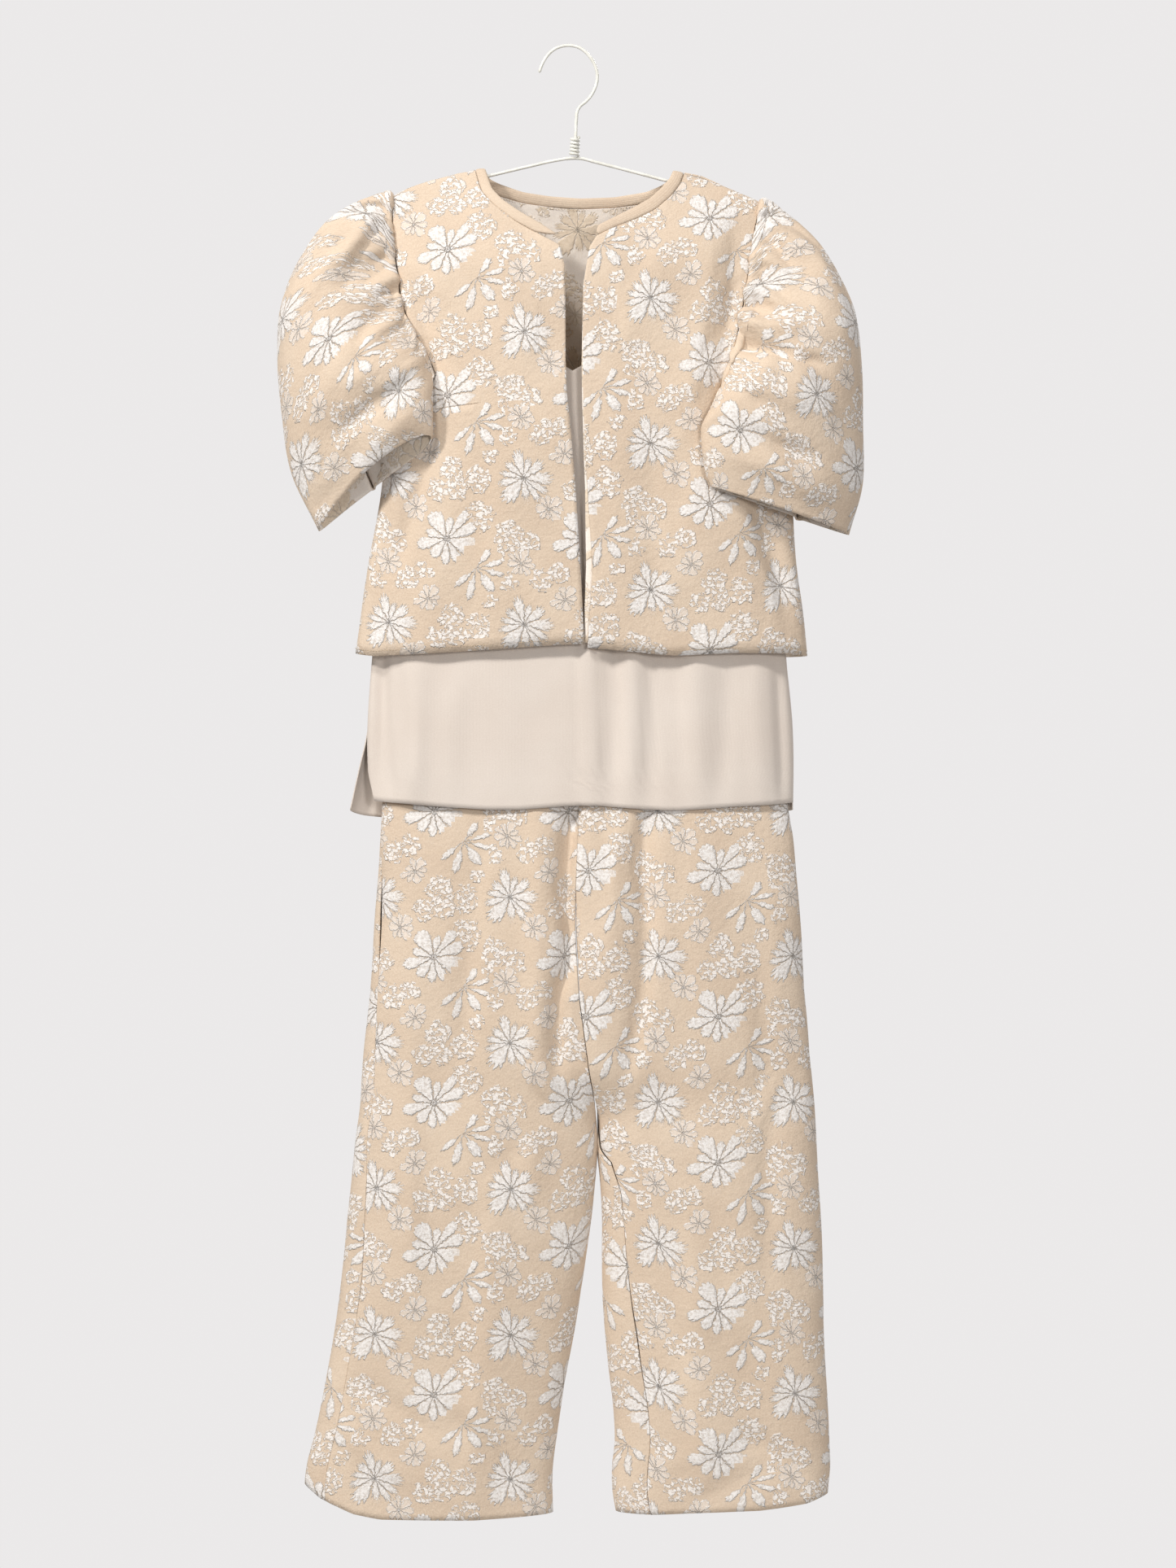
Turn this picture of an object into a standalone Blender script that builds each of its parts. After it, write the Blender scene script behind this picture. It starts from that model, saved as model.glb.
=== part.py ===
"""A jacquard jacket and cropped wide trousers with a plain knit under-top, on a wire hanger.

Tables are in millimetres. +X is the right of the picture, +Z is up, and the fronts face -Y.
The origin is the inside top of the hook. Left and right in names are the wearer's.
"""

import bmesh
import bpy
import numpy as np

MM = 0.001
JACQUARD = 1.6
KNIT = 1.2
HALF_SEAM = 0.15
ROUNDNESS = 2.4
WIRE_RADIUS = 1.65
FINE = 1e-5

MATERIALS = {
    "jacquard": ((0.78, 0.62, 0.43, 1.0), 0.0, 0.85),
    "knit": ((0.80, 0.69, 0.61, 1.0), 0.0, 0.9),
    "tape": ((0.80, 0.70, 0.58, 1.0), 0.0, 0.8),
    "wire": ((0.76, 0.74, 0.66, 1.0), 0.1, 0.4),
}


def table(columns, *rows):
    values = np.array(rows, float)
    return dict(zip(columns.split(), values.T))


# Jacket sizes
SHOULDER_LINE = table(
    "x z",
    (-215, -172), (-178, -152), (-162, -145), (-137, -136), (-112, -128), (-88, -124), (0, -118),
    (90, -122), (116, -128), (134, -132), (154, -140), (175, -150), (195, -159), (230, -178),
)
SHOULDER_ROUND = 3.3
SHOULDER_FALL = 110
JACKET_SECTIONS = table(
    "z x_low x_high front back",
    (-110, -187, 204, 34, 26),
    (-160, -187, 204, 35, 27),
    (-250, -185, 206, 37, 29),
    (-330, -184, 213, 39, 30),
    (-380, -184, 220, 40, 31),
    (-450, -189, 226, 40, 31),
    (-520, -200, 231, 39, 31),
    (-580, -210, 239, 37, 30),
    (-625, -217, 243, 36, 30),
)
FRONT_LEFT_INNER = table(
    "x z",
    (118, -128.6), (114, -140), (105, -153), (89, -168), (70, -178), (48, -187), (29, -196.5), (22, -208),
    (16, -245), (15, -327), (16, -368), (18, -417), (20, -450), (22, -483), (25, -532), (23, -565), (20, -611),
)
FRONT_LEFT_OUTER = table(
    "x z",
    (195, -159), (189, -187), (187, -208), (182, -239), (175, -273), (169, -306), (158, -337), (148, -363),
    (156, -384), (188, -404), (226, -417), (232, -418), (300, -618),
)
FRONT_RIGHT_INNER = table(
    "x z",
    (-94, -125.1), (-91, -137), (-87, -149), (-75, -163), (-55, -179), (-34, -191), (-8, -206), (-3, -226),
    (-2, -269), (-2, -319), (-1, -351), (4, -401), (8, -450), (11, -499), (14, -548), (16, -589), (17, -607),
)
FRONT_RIGHT_OUTER = table(
    "x z",
    (-178, -152), (-177, -191), (-175, -214), (-171, -237), (-168, -260), (-162, -276), (-153, -295),
    (-138, -322), (-133, -336), (-141, -353), (-162, -368), (-186, -377), (-192, -378), (-300, -615),
)
FRONT_LEFT_HEM = table(
    "x z", (20, -611), (43, -613), (84, -617), (109, -619), (166, -616), (207, -616), (244, -618)
)
FRONT_RIGHT_HEM = table(
    "x z", (-220, -615), (-194, -619), (-145, -617), (-80, -613), (-6, -608), (17, -607)
)
BACK_TOP = table(
    "x z",
    (-178, -152), (-162, -145), (-137, -136), (-112, -128), (-94, -125.1), (-93, -133), (-88, -141),
    (-74, -148), (-48, -156), (-19, -160), (13, -162), (47, -161), (83, -156), (103, -149), (113, -142),
    (117.5, -135), (118, -128.6), (134, -132), (154, -140), (175, -150), (195, -159),
)
BACK_LEFT_EDGE = table(
    "x z",
    (195, -159), (190, -200), (187, -250), (188, -300), (194, -345), (205, -385), (226, -417), (232, -418),
    (300, -618),
)
BACK_RIGHT_EDGE = table(
    "x z",
    (-178, -152), (-170, -200), (-163, -245), (-160, -285), (-164, -325), (-172, -352), (-186, -377),
    (-192, -378), (-300, -615),
)
BACK_HEM = table("x z", (-220, -615), (-120, -620), (0, -618), (120, -620), (244, -618))
JACKET_FRONT_FOLDS = table(
    "x_top z_top x_end z_end width height",
    (-130, -395, -172, -535, 14, -5.0),
    (-108, -410, -146, -575, 17, 3.0),
    (-146, -245, -130, -335, 11, -3.0),
    (172, -190, 146, -380, 15, -4.0),
    (146, -200, 118, -390, 17, 2.5),
    (187, -452, 222, -565, 13, -5.0),
    (160, -440, 184, -590, 17, 3.0),
    (96, -200, 60, -300, 15, 2.0),
    (-66, -205, -30, -330, 17, 2.0),
    (-70, -360, -76, -600, 28, 2.0),
    (84, -400, 92, -600, 26, -2.0),
    (50, -330, 44, -600, 20, 1.8),
)
JACKET_BACK_FOLDS = table(
    "x_top z_top x_end z_end width height",
    (-100, -190, -60, -420, 20, -3.0),
    (120, -190, 80, -420, 20, -3.0),
    (-140, -390, -150, -600, 18, 3.5),
    (-40, -300, -50, -600, 22, 3.0),
    (60, -330, 70, -600, 20, -3.0),
    (160, -410, 170, -600, 18, 3.5),
)
FRONT_ROWS = (0, 0.004, 0.012, 0.03, 0.055, 0.085, 0.115)
BACK_ROWS = (0, 0.004, 0.012, 0.04, 0.09, 0.15, 0.22, 0.3, 0.38)
LOWER_ROWS = (0.6, 0.67, 0.74, 0.82, 0.9, 1)

# Neck binding, a row per point of its free edge from the left front round the back to the right front
BINDING_FREE_EDGE_LEFT = table(
    "x z", (107, -126), (104, -134), (97, -143), (84, -156), (66, -167), (47, -177), (29, -186.5)
)
BINDING_FREE_EDGE_RIGHT = table(
    "x z", (-84, -124), (-81, -134), (-77, -146), (-66, -158), (-48, -171), (-30, -182), (-9, -196)
)
BINDING_FREE_EDGE_BACK = table(
    "x z",
    (-84, -124), (-80, -133), (-69, -138), (-46, -145.5), (-18, -149.5), (13, -151.5), (47, -150.5),
    (80, -145.5), (96, -139), (103, -134), (107, -126),
)
BINDING_PROFILE = table(
    "share lift",
    (0.0, -0.9), (0.3, -1.4), (0.75, -1.4), (1.0, -0.8), (1.0, 0.8), (0.75, 1.4), (0.3, 1.4), (0.0, 0.9),
)
FACING = table(
    "z past_edge",
    (-212, 0), (-260, 0.5), (-330, 1), (-400, 1.5), (-450, 2.5), (-490, 4.5), (-535, 6.5), (-570, 5.5), (-607, 3),
)
FACING_WIDTH = 24
FACING_BEHIND = 2.3

# Sleeve sizes, a row per ring: its outer, front, inner and back points
SLEEVE_RIGHT_RINGS = table(
    "v outer_x outer_y outer_z front_x front_y front_z inner_x inner_y inner_z back_x back_y back_z",
    (0.08, -200, 0, -149, -190, -32, -250, -136, -38, -341, -188, 22, -262),
    (0.20, -237, -2, -171, -216, -44, -262, -135, -41, -349, -210, 26, -280),
    (0.33, -273, -5, -221, -228, -53, -285, -135, -42, -358, -224, 24, -305),
    (0.46, -292, -8, -270, -233, -57, -312, -135, -42, -367, -234, 18, -332),
    (0.60, -294, -10, -325, -231, -58, -342, -135, -42, -377, -236, 12, -362),
    (0.75, -288, -12, -385, -225, -55, -376, -135, -41, -387, -233, 6, -395),
    (0.88, -277, -14, -440, -210, -50, -402, -135, -41, -396, -225, 0, -424),
    (1.00, -251, -16, -489, -186, -45, -420, -137, -40, -404, -209, -4, -458),
)
SLEEVE_LEFT_RINGS = table(
    "v outer_x outer_y outer_z front_x front_y front_z inner_x inner_y inner_z back_x back_y back_z",
    (0.08, 214, 0, -157, 205, -32, -262, 143, -43, -371, 206, 22, -275),
    (0.20, 247, -2, -192, 226, -45, -282, 138, -45, -380, 224, 26, -300),
    (0.33, 272, -5, -228, 232, -54, -308, 134, -46, -390, 238, 24, -328),
    (0.46, 292, -8, -272, 235, -58, -335, 134, -46, -402, 246, 18, -356),
    (0.60, 298, -10, -330, 233, -59, -372, 135, -46, -414, 250, 14, -388),
    (0.75, 298, -12, -395, 228, -57, -412, 137, -46, -428, 250, 8, -422),
    (0.88, 296, -14, -450, 222, -53, -444, 140, -45, -440, 250, 2, -452),
    (1.00, 281, -16, -494, 212, -49, -471, 146, -44, -451, 248, -3, -484),
)
SLEEVE_RINGS = (0, 0.02, 0.05, 0.09, 0.15, 0.23, 0.33, 0.45, 0.58, 0.72, 0.86, 1)
FRONT_SEAM_STEPS = 28
UNDER_SEAM_STEPS = 8
BACK_SEAM_STEPS = 24
# Gathers of the sleeve head, a row per fold, angle in degrees from the shoulder tip through the front
GATHERS = table(
    "angle width height reach",
    (6, 7, 4.2, 0.42), (22, 6, 3.4, 0.34), (37, 7, 4.4, 0.46), (54, 6, 3.2, 0.30), (70, 7, 4.2, 0.44),
    (88, 6.5, 3.4, 0.36), (106, 7, 3.8, 0.42), (124, 7, 2.8, 0.30), (142, 8, 3.0, 0.36), (240, 9, 2.8, 0.30),
    (262, 8, 3.4, 0.36), (284, 8, 3.2, 0.40), (304, 7, 3.8, 0.36), (322, 7, 3.4, 0.42), (340, 7, 4.2, 0.38),
    (353, 5, 3.0, 0.30),
)
SLEEVE_FRONT_FOLDS = table(
    "x_top z_top x_end z_end width height",
    (-190, -180, -240, -232, 9, 4.0),
    (-182, -205, -232, -250, 9, -4.0),
    (-172, -268, -205, -300, 10, -3.5),
    (-160, -300, -215, -345, 11, 3.0),
    (-150, -345, -240, -400, 13, -3.0),
    (-150, -370, -215, -440, 13, 3.0),
    (204, -190, 240, -236, 10, -3.5),
    (186, -284, 236, -292, 8, 4.0),
    (180, -300, 262, -330, 10, -5.0),
    (166, -345, 240, -372, 13, 3.0),
    (160, -380, 250, -425, 14, -2.5),
    (170, -420, 262, -462, 15, 2.5),
)

# Under-top sizes
TOP_SECTIONS = table(
    "z x_low x_high front back",
    (-230, -146, 166, 21, 17),
    (-340, -164, 184, 26, 21),
    (-400, -170, 197, 28, 23),
    (-450, -178, 208, 28, 23),
    (-619, -198, 221, 29, 24),
    (-700, -203, 228, 31, 26),
    (-785, -200, 228, 33, 28),
)
TOP_BACK_SECTIONS = table(
    "z x_low x_high front back",
    (-230, -146, 166, 21, 17),
    (-340, -164, 184, 26, 21),
    (-400, -170, 197, 28, 23),
    (-450, -178, 208, 28, 23),
    (-619, -198, 221, 29, 24),
    (-700, -204, 228, 31, 26),
    (-730, -211, 228, 31, 26),
    (-785, -223, 228, 33, 28),
)
TOP_FRONT_TOP = table(
    "x z",
    (-117, -236), (-105, -238), (-80, -270), (-40, -305), (5, -331), (50, -305), (100, -270), (134, -238), (146, -236),
)
TOP_FRONT_RIGHT_EDGE = table(
    "x z",
    (-117, -236), (-130, -266), (-146, -305), (-166, -340), (-300, -690), (-204, -700), (-202, -737), (-196, -765),
)
TOP_FRONT_LEFT_EDGE = table(
    "x z", (146, -236), (156, -266), (168, -305), (186, -340), (300, -700), (300, -766)
)
TOP_FRONT_HEM = table(
    "x z",
    (-196, -765), (-162, -768), (-112, -772), (-80, -774), (-47, -774), (2, -770), (31, -770), (68, -773),
    (109, -775), (166, -771), (231, -766),
)
TOP_BACK_TOP = table("x z", (-167, -340), (-112, -345), (15, -352), (140, -345), (187, -340))
TOP_BACK_RIGHT_EDGE = table(
    "x z", (-167, -340), (-300, -690), (-300, -774)
)
TOP_BACK_LEFT_EDGE = table("x z", (187, -340), (300, -690), (300, -774))
TOP_BACK_HEM = table("x z", (-226, -774), (-207, -780), (-188, -782), (0, -779), (120, -781), (231, -774))
TOP_FOLDS = table(
    "x_top z_top x_end z_end width height",
    (-186, -560, -190, -770, 7, -3.5),
    (-150, -600, -158, -770, 14, 2.5),
    (22, -560, 24, -772, 8, 3.5),
    (40, -580, 42, -772, 10, -3.5),
    (88, -600, 84, -772, 14, -3.0),
    (130, -600, 136, -772, 18, 2.0),
    (-70, -600, -60, -772, 24, 1.5),
    (190, -600, 196, -768, 12, 2.5),
)
TOP_BACK_FOLDS = table(
    "x_top z_top x_end z_end width height",
    (-150, -500, -166, -778, 16, 3.0),
    (-60, -520, -64, -778, 18, -3.0),
    (40, -500, 46, -778, 16, 3.0),
    (140, -520, 150, -778, 18, -3.0),
)
STRAPS = table("x_front z_front x_wire x_back z_back", (-111, -236.9, -111, -112, -344.7), (140, -236.9, 140, 140, -344.7))
STRAP_WIDTH = 8

# Trouser sizes
HIP_SECTIONS = table(
    "z x_low x_high front back",
    (-735, -187, 221, 25, 21),
    (-766, -188, 222.5, 27, 22),
    (-800, -190, 228, 31, 25),
    (-841, -191, 231, 34, 28),
    (-889, -194, 234.5, 36, 30),
    (-949, -199, 239, 37, 31),
    (-1021, -207, 245, 37, 31),
    (-1082, -213, 250, 36, 31),
    (-1140, -217, 253, 36, 31),
)
LEFT_LEG_SECTIONS = table(
    "z x_low x_high front back",
    (-1020, 31.5, 245, 34, 30),
    (-1082, 31.5, 250, 34, 30),
    (-1116, 31.5, 252, 34, 31),
    (-1152, 34.5, 254, 35, 32),
    (-1184, 35.5, 256, 35, 32),
    (-1225, 35, 258, 35, 32),
    (-1280, 36.5, 259, 35, 33),
    (-1334, 42, 260, 34, 33),
    (-1383, 48, 263, 34, 33),
    (-1416, 48.5, 265, 33, 33),
    (-1440, 45, 266, 33, 32),
    (-1462, 44.5, 264, 33, 31),
    (-1492, 49, 263, 32, 31),
)
RIGHT_LEG_SECTIONS = table(
    "z x_low x_high front back",
    (-1020, -207, 28.5, 34, 30),
    (-1082, -213, 28.5, 34, 30),
    (-1116, -216, 28.5, 34, 31),
    (-1157, -219, 26, 35, 32),
    (-1184, -222, 24, 35, 32),
    (-1225, -226, 18.5, 35, 32),
    (-1280, -233, 10, 35, 33),
    (-1340, -243, -1, 34, 33),
    (-1402, -255, -11, 34, 33),
    (-1443, -265, -16, 33, 32),
    (-1492, -267, -16, 32, 31),
)
LEFT_SEAM_ANGLES = table(
    "z inner outer",
    (-735, -90, 90), (-1100, -90, 92), (-1116, -82, 92), (-1130, -64, 92), (-1160, -56, 92), (-1300, -46, 92),
    (-1400, -43, 91), (-1492, -42, 90),
)
RIGHT_SEAM_ANGLES = table(
    "z inner outer",
    (-735, 90, -90), (-800, 90, -84), (-894, 90, -78), (-961, 90, -74.5), (-1034, 90, -70), (-1081, 90, -65),
    (-1171, 92, -60), (-1247, 92, -56), (-1492, 92, -55.5),
)
CENTRE_SEAM = table("x z", (13, -735), (11, -790), (8, -850), (8, -900), (12, -966), (20, -1024), (27, -1080), (30, -1120))
LEFT_HEM = table("x z", (44, -1485), (84, -1485), (139, -1482), (193, -1480), (242, -1474), (264, -1466))
RIGHT_HEM = table("x z", (-267, -1457), (-249, -1470), (-216, -1484), (-189, -1489), (-94, -1490), (-16, -1486))
CROTCH_FROM, CROTCH_TO = -1030, -1112
WAIST_TOP, WAIST_SEAM = -737, -765.5
TROUSER_ROWS = (
    0, 0.05, 0.115, 0.18, 0.25, 0.31, 0.365, 0.4, 0.43, 0.455, 0.475, 0.49, 0.51, 0.54, 0.58, 0.64, 0.7, 0.76,
    0.82, 0.88, 0.94, 1,
)
TROUSER_FRONT_FOLDS = table(
    "x_top z_top x_end z_end width height",
    (-2, -775, -14, -870, 9, -5.0),
    (-13, -850, -4, -940, 9, -4.5),
    (-5, -930, -8, -1030, 9, -4.0),
    (-47, -770, -47, -1180, 20, 4.0),
    (-88, -780, -110, -1060, 20, -2.5),
    (82, -772, 84, -890, 14, -3.5),
    (84, -880, 64, -1030, 14, -3.0),
    (48, -780, 40, -930, 12, 3.0),
    (140, -780, 150, -1120, 30, 2.5),
    (190, -900, 200, -1250, 20, -2.5),
    (-150, -900, -160, -1250, 22, 2.5),
    (-70, -1150, -100, -1480, 26, 3.0),
    (-120, -1380, -60, -1440, 18, -3.0),
    (130, -1150, 140, -1480, 30, 3.0),
    (180, -1400, 240, -1450, 16, -3.0),
)
TROUSER_BACK_FOLDS = table(
    "x_top z_top x_end z_end width height",
    (-90, -780, -100, -1100, 24, 3.5),
    (100, -780, 110, -1100, 24, 3.5),
    (-150, -1000, -160, -1470, 22, -3.0),
    (-60, -1150, -80, -1470, 22, 3.0),
    (190, -1000, 200, -1460, 22, -3.0),
    (120, -1150, 130, -1470, 24, 3.0),
)
TAPES = table("x_wire x_waist", (-150, -181.0), (158, 215.0))
TAPE_STRAIGHT_TO = -500
TAPE_WIDTH = 6

# Hanger sizes
HOOK_PATH = (
    (-29, -26), (-27, -19.5), (-23.5, -12.5), (-18.5, -6), (-12, -1.2), (-4, 1.4), (4, 1.6), (12, -0.6), (19, -5.8),
    (25, -13.5), (29, -22.5), (30, -31), (28, -40.5), (24, -48.5), (18, -55.5), (12.5, -60), (9.8, -64.5), (8.8, -72),
    (8, -90), (7.2, -109),
)
ARM_PATH = (
    (-172, -154.1), (-140, -145.3), (-110, -138), (-77, -130), (-40, -121.2), (-12, -114.9), (2, -112.9), (12, -112.9),
    (30, -117.2), (66, -126.5), (102, -136), (135, -144.1), (160, -150.2), (178, -155.8),
)
TWIST_TOP, TWIST_END, TWIST_WRAPS = -90.5, -110.3, 5
TWIST_CENTRE = 7.6


def read(sections, column, z):
    """A column of a table at height z, on a smooth curve through its rows."""
    order = np.argsort(sections["z"])
    heights = sections["z"][order]
    values = sections[column][order]
    slopes = np.gradient(values, heights)
    z = np.clip(z, heights[0], heights[-1])
    k = np.clip(np.searchsorted(heights, z) - 1, 0, len(heights) - 2)
    span = heights[k + 1] - heights[k]
    f = (z - heights[k]) / span
    low = values[k] * (1 + 2 * f) * (1 - f) ** 2 + slopes[k] * span * f * (1 - f) ** 2
    high = values[k + 1] * f * f * (3 - 2 * f) - slopes[k + 1] * span * f * f * (1 - f)
    return low + high


def angle_of(sections, x, z):
    """Angle round a section, 0 at its front centre and 90 degrees at its +X side, for a point at x."""
    low, high = read(sections, "x_low", z), read(sections, "x_high", z)
    u = np.clip((x - (low + high) / 2) / ((high - low) / 2), -1, 1)
    return np.arcsin(u)


def across(sections, angle, z):
    """x at an angle round a section, and the share of its depth there, + in front."""
    low, high = read(sections, "x_low", z), read(sections, "x_high", z)
    u = np.sin(angle)
    depth = np.sign(np.cos(angle)) * np.maximum(1 - np.abs(u) ** ROUNDNESS, 0) ** (1 / ROUNDNESS)
    return (low + high) / 2 + (high - low) / 2 * u, depth


def smooth(f):
    f = np.clip(f, 0, 1)
    return f * f * (3 - 2 * f)


def folds(rows, x, z):
    """Height of the soft ridges (+) and troughs (-) of a fold table at x, z."""
    total = np.zeros_like(x)
    for k in range(len(rows["width"])):
        start = np.array([rows["x_top"][k], rows["z_top"][k]])
        run = np.array([rows["x_end"][k], rows["z_end"][k]]) - start
        share = ((x - start[0]) * run[0] + (z - start[1]) * run[1]) / (run @ run)
        aside = np.abs((x - start[0]) * run[1] - (z - start[1]) * run[0]) / np.sqrt(run @ run)
        ends = smooth((share + 0.15) / 0.4) * smooth((1.15 - share) / 0.4)
        total += rows["height"][k] * np.exp(-((aside / rows["width"][k]) ** 2)) * ends
    return total


def jacket_point(side, angle, z, fold_rows=None):
    """A point of the jacket's cloth, side -1 in front and 1 at the back."""
    x, depth = across(JACKET_SECTIONS, angle, z)
    depth = np.abs(depth)
    drop = np.maximum(np.interp(x, SHOULDER_LINE["x"], SHOULDER_LINE["z"]) - z, 0)
    round_over = 1 - np.minimum(drop / SHOULDER_ROUND, 1)
    arch = SHOULDER_ROUND * np.sqrt(1 - round_over**2) * np.minimum(1, 4 * depth)
    full = read(JACKET_SECTIONS, "front" if side < 0 else "back", z)
    fall = np.sin(np.pi / 2 * np.minimum(1, drop / SHOULDER_FALL))
    out = arch + full * fall * depth
    if fold_rows is not None:
        out = out + folds(fold_rows, x, z) * np.minimum(1, 3 * depth) * smooth(drop / 40)
    return np.stack([x, side * out, z], axis=-1)


def share_of(curve, share):
    """x and z of a curve at a share of its height."""
    heights = curve["z"]
    z = heights[0] + share * (heights[-1] - heights[0])
    return np.interp(-z, -heights, curve["x"]), z


def corner_shares(curve):
    """The share of a curve's length at each of its points."""
    steps = np.hypot(np.diff(curve["x"]), np.diff(curve["z"]))
    return np.concatenate([[0], np.cumsum(steps)]) / steps.sum()


def length_of(curve, share):
    """x and z of a curve at a share of its length."""
    reach = corner_shares(curve)
    return np.interp(share, reach, curve["x"]), np.interp(share, reach, curve["z"])


def turn_of(sections, curve, share):
    """Angle and z of a curve at a share of its turn round the body."""
    angles = angle_of(sections, curve["x"], curve["z"])
    reach = (angles - angles[0]) / (angles[-1] - angles[0])
    return np.stack([np.interp(share, reach, angles), np.interp(share, reach, curve["z"])], axis=-1)


def turned(curve):
    return {name: values[::-1] for name, values in curve.items()}


def patch(sections, first, last, top, end, point, even_top=False):
    """A surface of s, across from edge first to edge last, and t, down from edge top to edge end."""

    def plane(x, z):
        return np.stack([angle_of(sections, x, z), z], axis=-1)

    corners = [plane(*share_of(edge, np.array(float(t)))) for edge in (first, last) for t in (0, 1)]

    def surface(s, t):
        a, b = plane(*share_of(first, t)), plane(*share_of(last, t))
        c = turn_of(sections, top, s) if even_top else plane(*length_of(top, s))
        d = turn_of(sections, end, s)
        s, t = s[..., None], t[..., None]
        mixed = (1 - s) * a + s * b + (1 - t) * c + t * d
        mixed = mixed - (1 - s) * (1 - t) * corners[0] - (1 - s) * t * corners[1]
        mixed = mixed - s * (1 - t) * corners[2] - s * t * corners[3]
        return point(mixed[..., 0], mixed[..., 1])

    return surface


def top_point(side, angle, z):
    sections = TOP_SECTIONS if side < 0 else TOP_BACK_SECTIONS
    x, depth = across(sections, angle, z)
    depth = np.abs(depth)
    out = read(sections, "front" if side < 0 else "back", z) * depth
    rows = TOP_FOLDS if side < 0 else TOP_BACK_FOLDS
    out = out + folds(rows, x, z) * np.minimum(1, 3 * depth)
    return np.stack([x, side * out, z], axis=-1)


def ring_point(sections, angle, z):
    x, depth = across(sections, angle, z)
    front, back = read(sections, "front", z), read(sections, "back", z)
    shift = folds(TROUSER_FRONT_FOLDS, x, z), folds(TROUSER_BACK_FOLDS, x, z)
    out = np.where(depth > 0, front, back) + np.where(depth > 0, shift[0], shift[1]) * np.minimum(1, np.abs(depth))
    return np.stack([x, -out * depth, z], axis=-1)


def trouser_surface(leg, part):
    """Surface of one leg's front or back: s from the centre and inside seam to the outside seam, t down."""
    sections = LEFT_LEG_SECTIONS if leg > 0 else RIGHT_LEG_SECTIONS
    angles = LEFT_SEAM_ANGLES if leg > 0 else RIGHT_SEAM_ANGLES
    hem = LEFT_HEM if leg > 0 else RIGHT_HEM

    def surface(s, t):
        low = np.full_like(s, -1475.0)
        inner = np.radians(read(angles, "inner", low))
        outer = np.radians(read(angles, "outer", low))
        if part == "back":
            inner = inner + leg * 2 * np.pi
        x_hem = across(sections, inner + s * (outer - inner), low)[0]
        z = WAIST_SEAM + t * (np.interp(x_hem, hem["x"], hem["z"]) - WAIST_SEAM)
        inner = np.radians(np.interp(-z, -angles["z"], angles["inner"]))
        outer = np.radians(np.interp(-z, -angles["z"], angles["outer"]))
        centre = angle_of(HIP_SECTIONS, np.interp(-z, -CENTRE_SEAM["z"], CENTRE_SEAM["x"]), z)
        if part == "back":
            inner = inner + leg * 2 * np.pi
            centre = leg * np.pi - centre
        hips = ring_point(HIP_SECTIONS, centre + s * (outer - centre), z)
        below = ring_point(sections, inner + s * (outer - inner), z)
        weight = smooth((CROTCH_FROM - z) / (CROTCH_FROM - CROTCH_TO))[..., None]
        return (1 - weight) * hips + weight * below

    return surface


def unit(vectors):
    return vectors / np.linalg.norm(vectors, axis=-1, keepdims=True)


def cloth_grid(surface, columns, rows, inset):
    """Middle points and normals of a piece of cloth. inset has the pull at its first and last column and row."""
    s, t = np.meshgrid(np.array(columns, float), np.array(rows, float), indexing="ij")
    middle = surface(s, t)
    along = surface(np.minimum(s + FINE, 1), t) - surface(np.maximum(s - FINE, 0), t)
    down = surface(s, np.minimum(t + FINE, 1)) - surface(s, np.maximum(t - FINE, 0))
    normals = unit(np.cross(along, down))
    along, down = unit(along), unit(down)
    middle[0] += along[0] * inset[0]
    middle[-1] -= along[-1] * inset[1]
    middle[:, 0] += down[:, 0] * inset[2]
    middle[:, -1] -= down[:, -1] * inset[3]
    return middle, normals


def even(count):
    return np.linspace(0, 1, count + 1)


def make_material(name):
    color, metallic, roughness = MATERIALS[name]
    material = bpy.data.materials.new(name)
    material.use_nodes = True
    shader = material.node_tree.nodes["Principled BSDF"]
    shader.inputs["Base Color"].default_value = color
    shader.inputs["Metallic"].default_value = metallic
    shader.inputs["Roughness"].default_value = roughness
    return material


def add_solid(name, points, faces, material):
    mesh = bpy.data.meshes.new(name)
    mesh.from_pydata((np.asarray(points) * MM).tolist(), [], faces)
    shape = bmesh.new()
    shape.from_mesh(mesh)
    bmesh.ops.recalc_face_normals(shape, faces=shape.faces)
    shape.to_mesh(mesh)
    shape.free()
    mesh.materials.append(material)
    for polygon in mesh.polygons:
        polygon.use_smooth = True
    obj = bpy.data.objects.new(name, mesh)
    bpy.data.collections["garment"].objects.link(obj)
    return obj


def add_cloth(name, middle, normals, thickness, material, closed=False):
    """A thin solid with its two faces half a thickness either side of the middle points."""
    columns, rows = middle.shape[:2]
    layers = [middle + normals * thickness / 2, middle - normals * thickness / 2]
    points = np.concatenate([layer.reshape(-1, 3) for layer in layers])
    count = columns * rows
    faces = []
    for i in range(columns if closed else columns - 1):
        k = (i + 1) % columns
        for j in range(rows - 1):
            quad = (i * rows + j, k * rows + j, k * rows + j + 1, i * rows + j + 1)
            faces.append(quad)
            faces.append(tuple(count + corner for corner in reversed(quad)))
        for j in (0, rows - 1):
            faces.append((i * rows + j, k * rows + j, count + k * rows + j, count + i * rows + j))
    if not closed:
        for j in range(rows - 1):
            for i in (0, columns - 1):
                a, b = i * rows + j, i * rows + j + 1
                faces.append((a, b, count + b, count + a))
    return add_solid(name, points, faces, material)


def add_sweep(name, rings, material):
    """A solid through rings of the same number of points, with flat ends."""
    count, sides = rings.shape[:2]
    faces = []
    for i in range(count - 1):
        for j in range(sides):
            k = (j + 1) % sides
            faces.append((i * sides + j, i * sides + k, (i + 1) * sides + k, (i + 1) * sides + j))
    faces.append(tuple(range(sides)))
    faces.append(tuple((count - 1) * sides + j for j in range(sides)))
    return add_solid(name, rings.reshape(-1, 3), faces, material)


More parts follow.
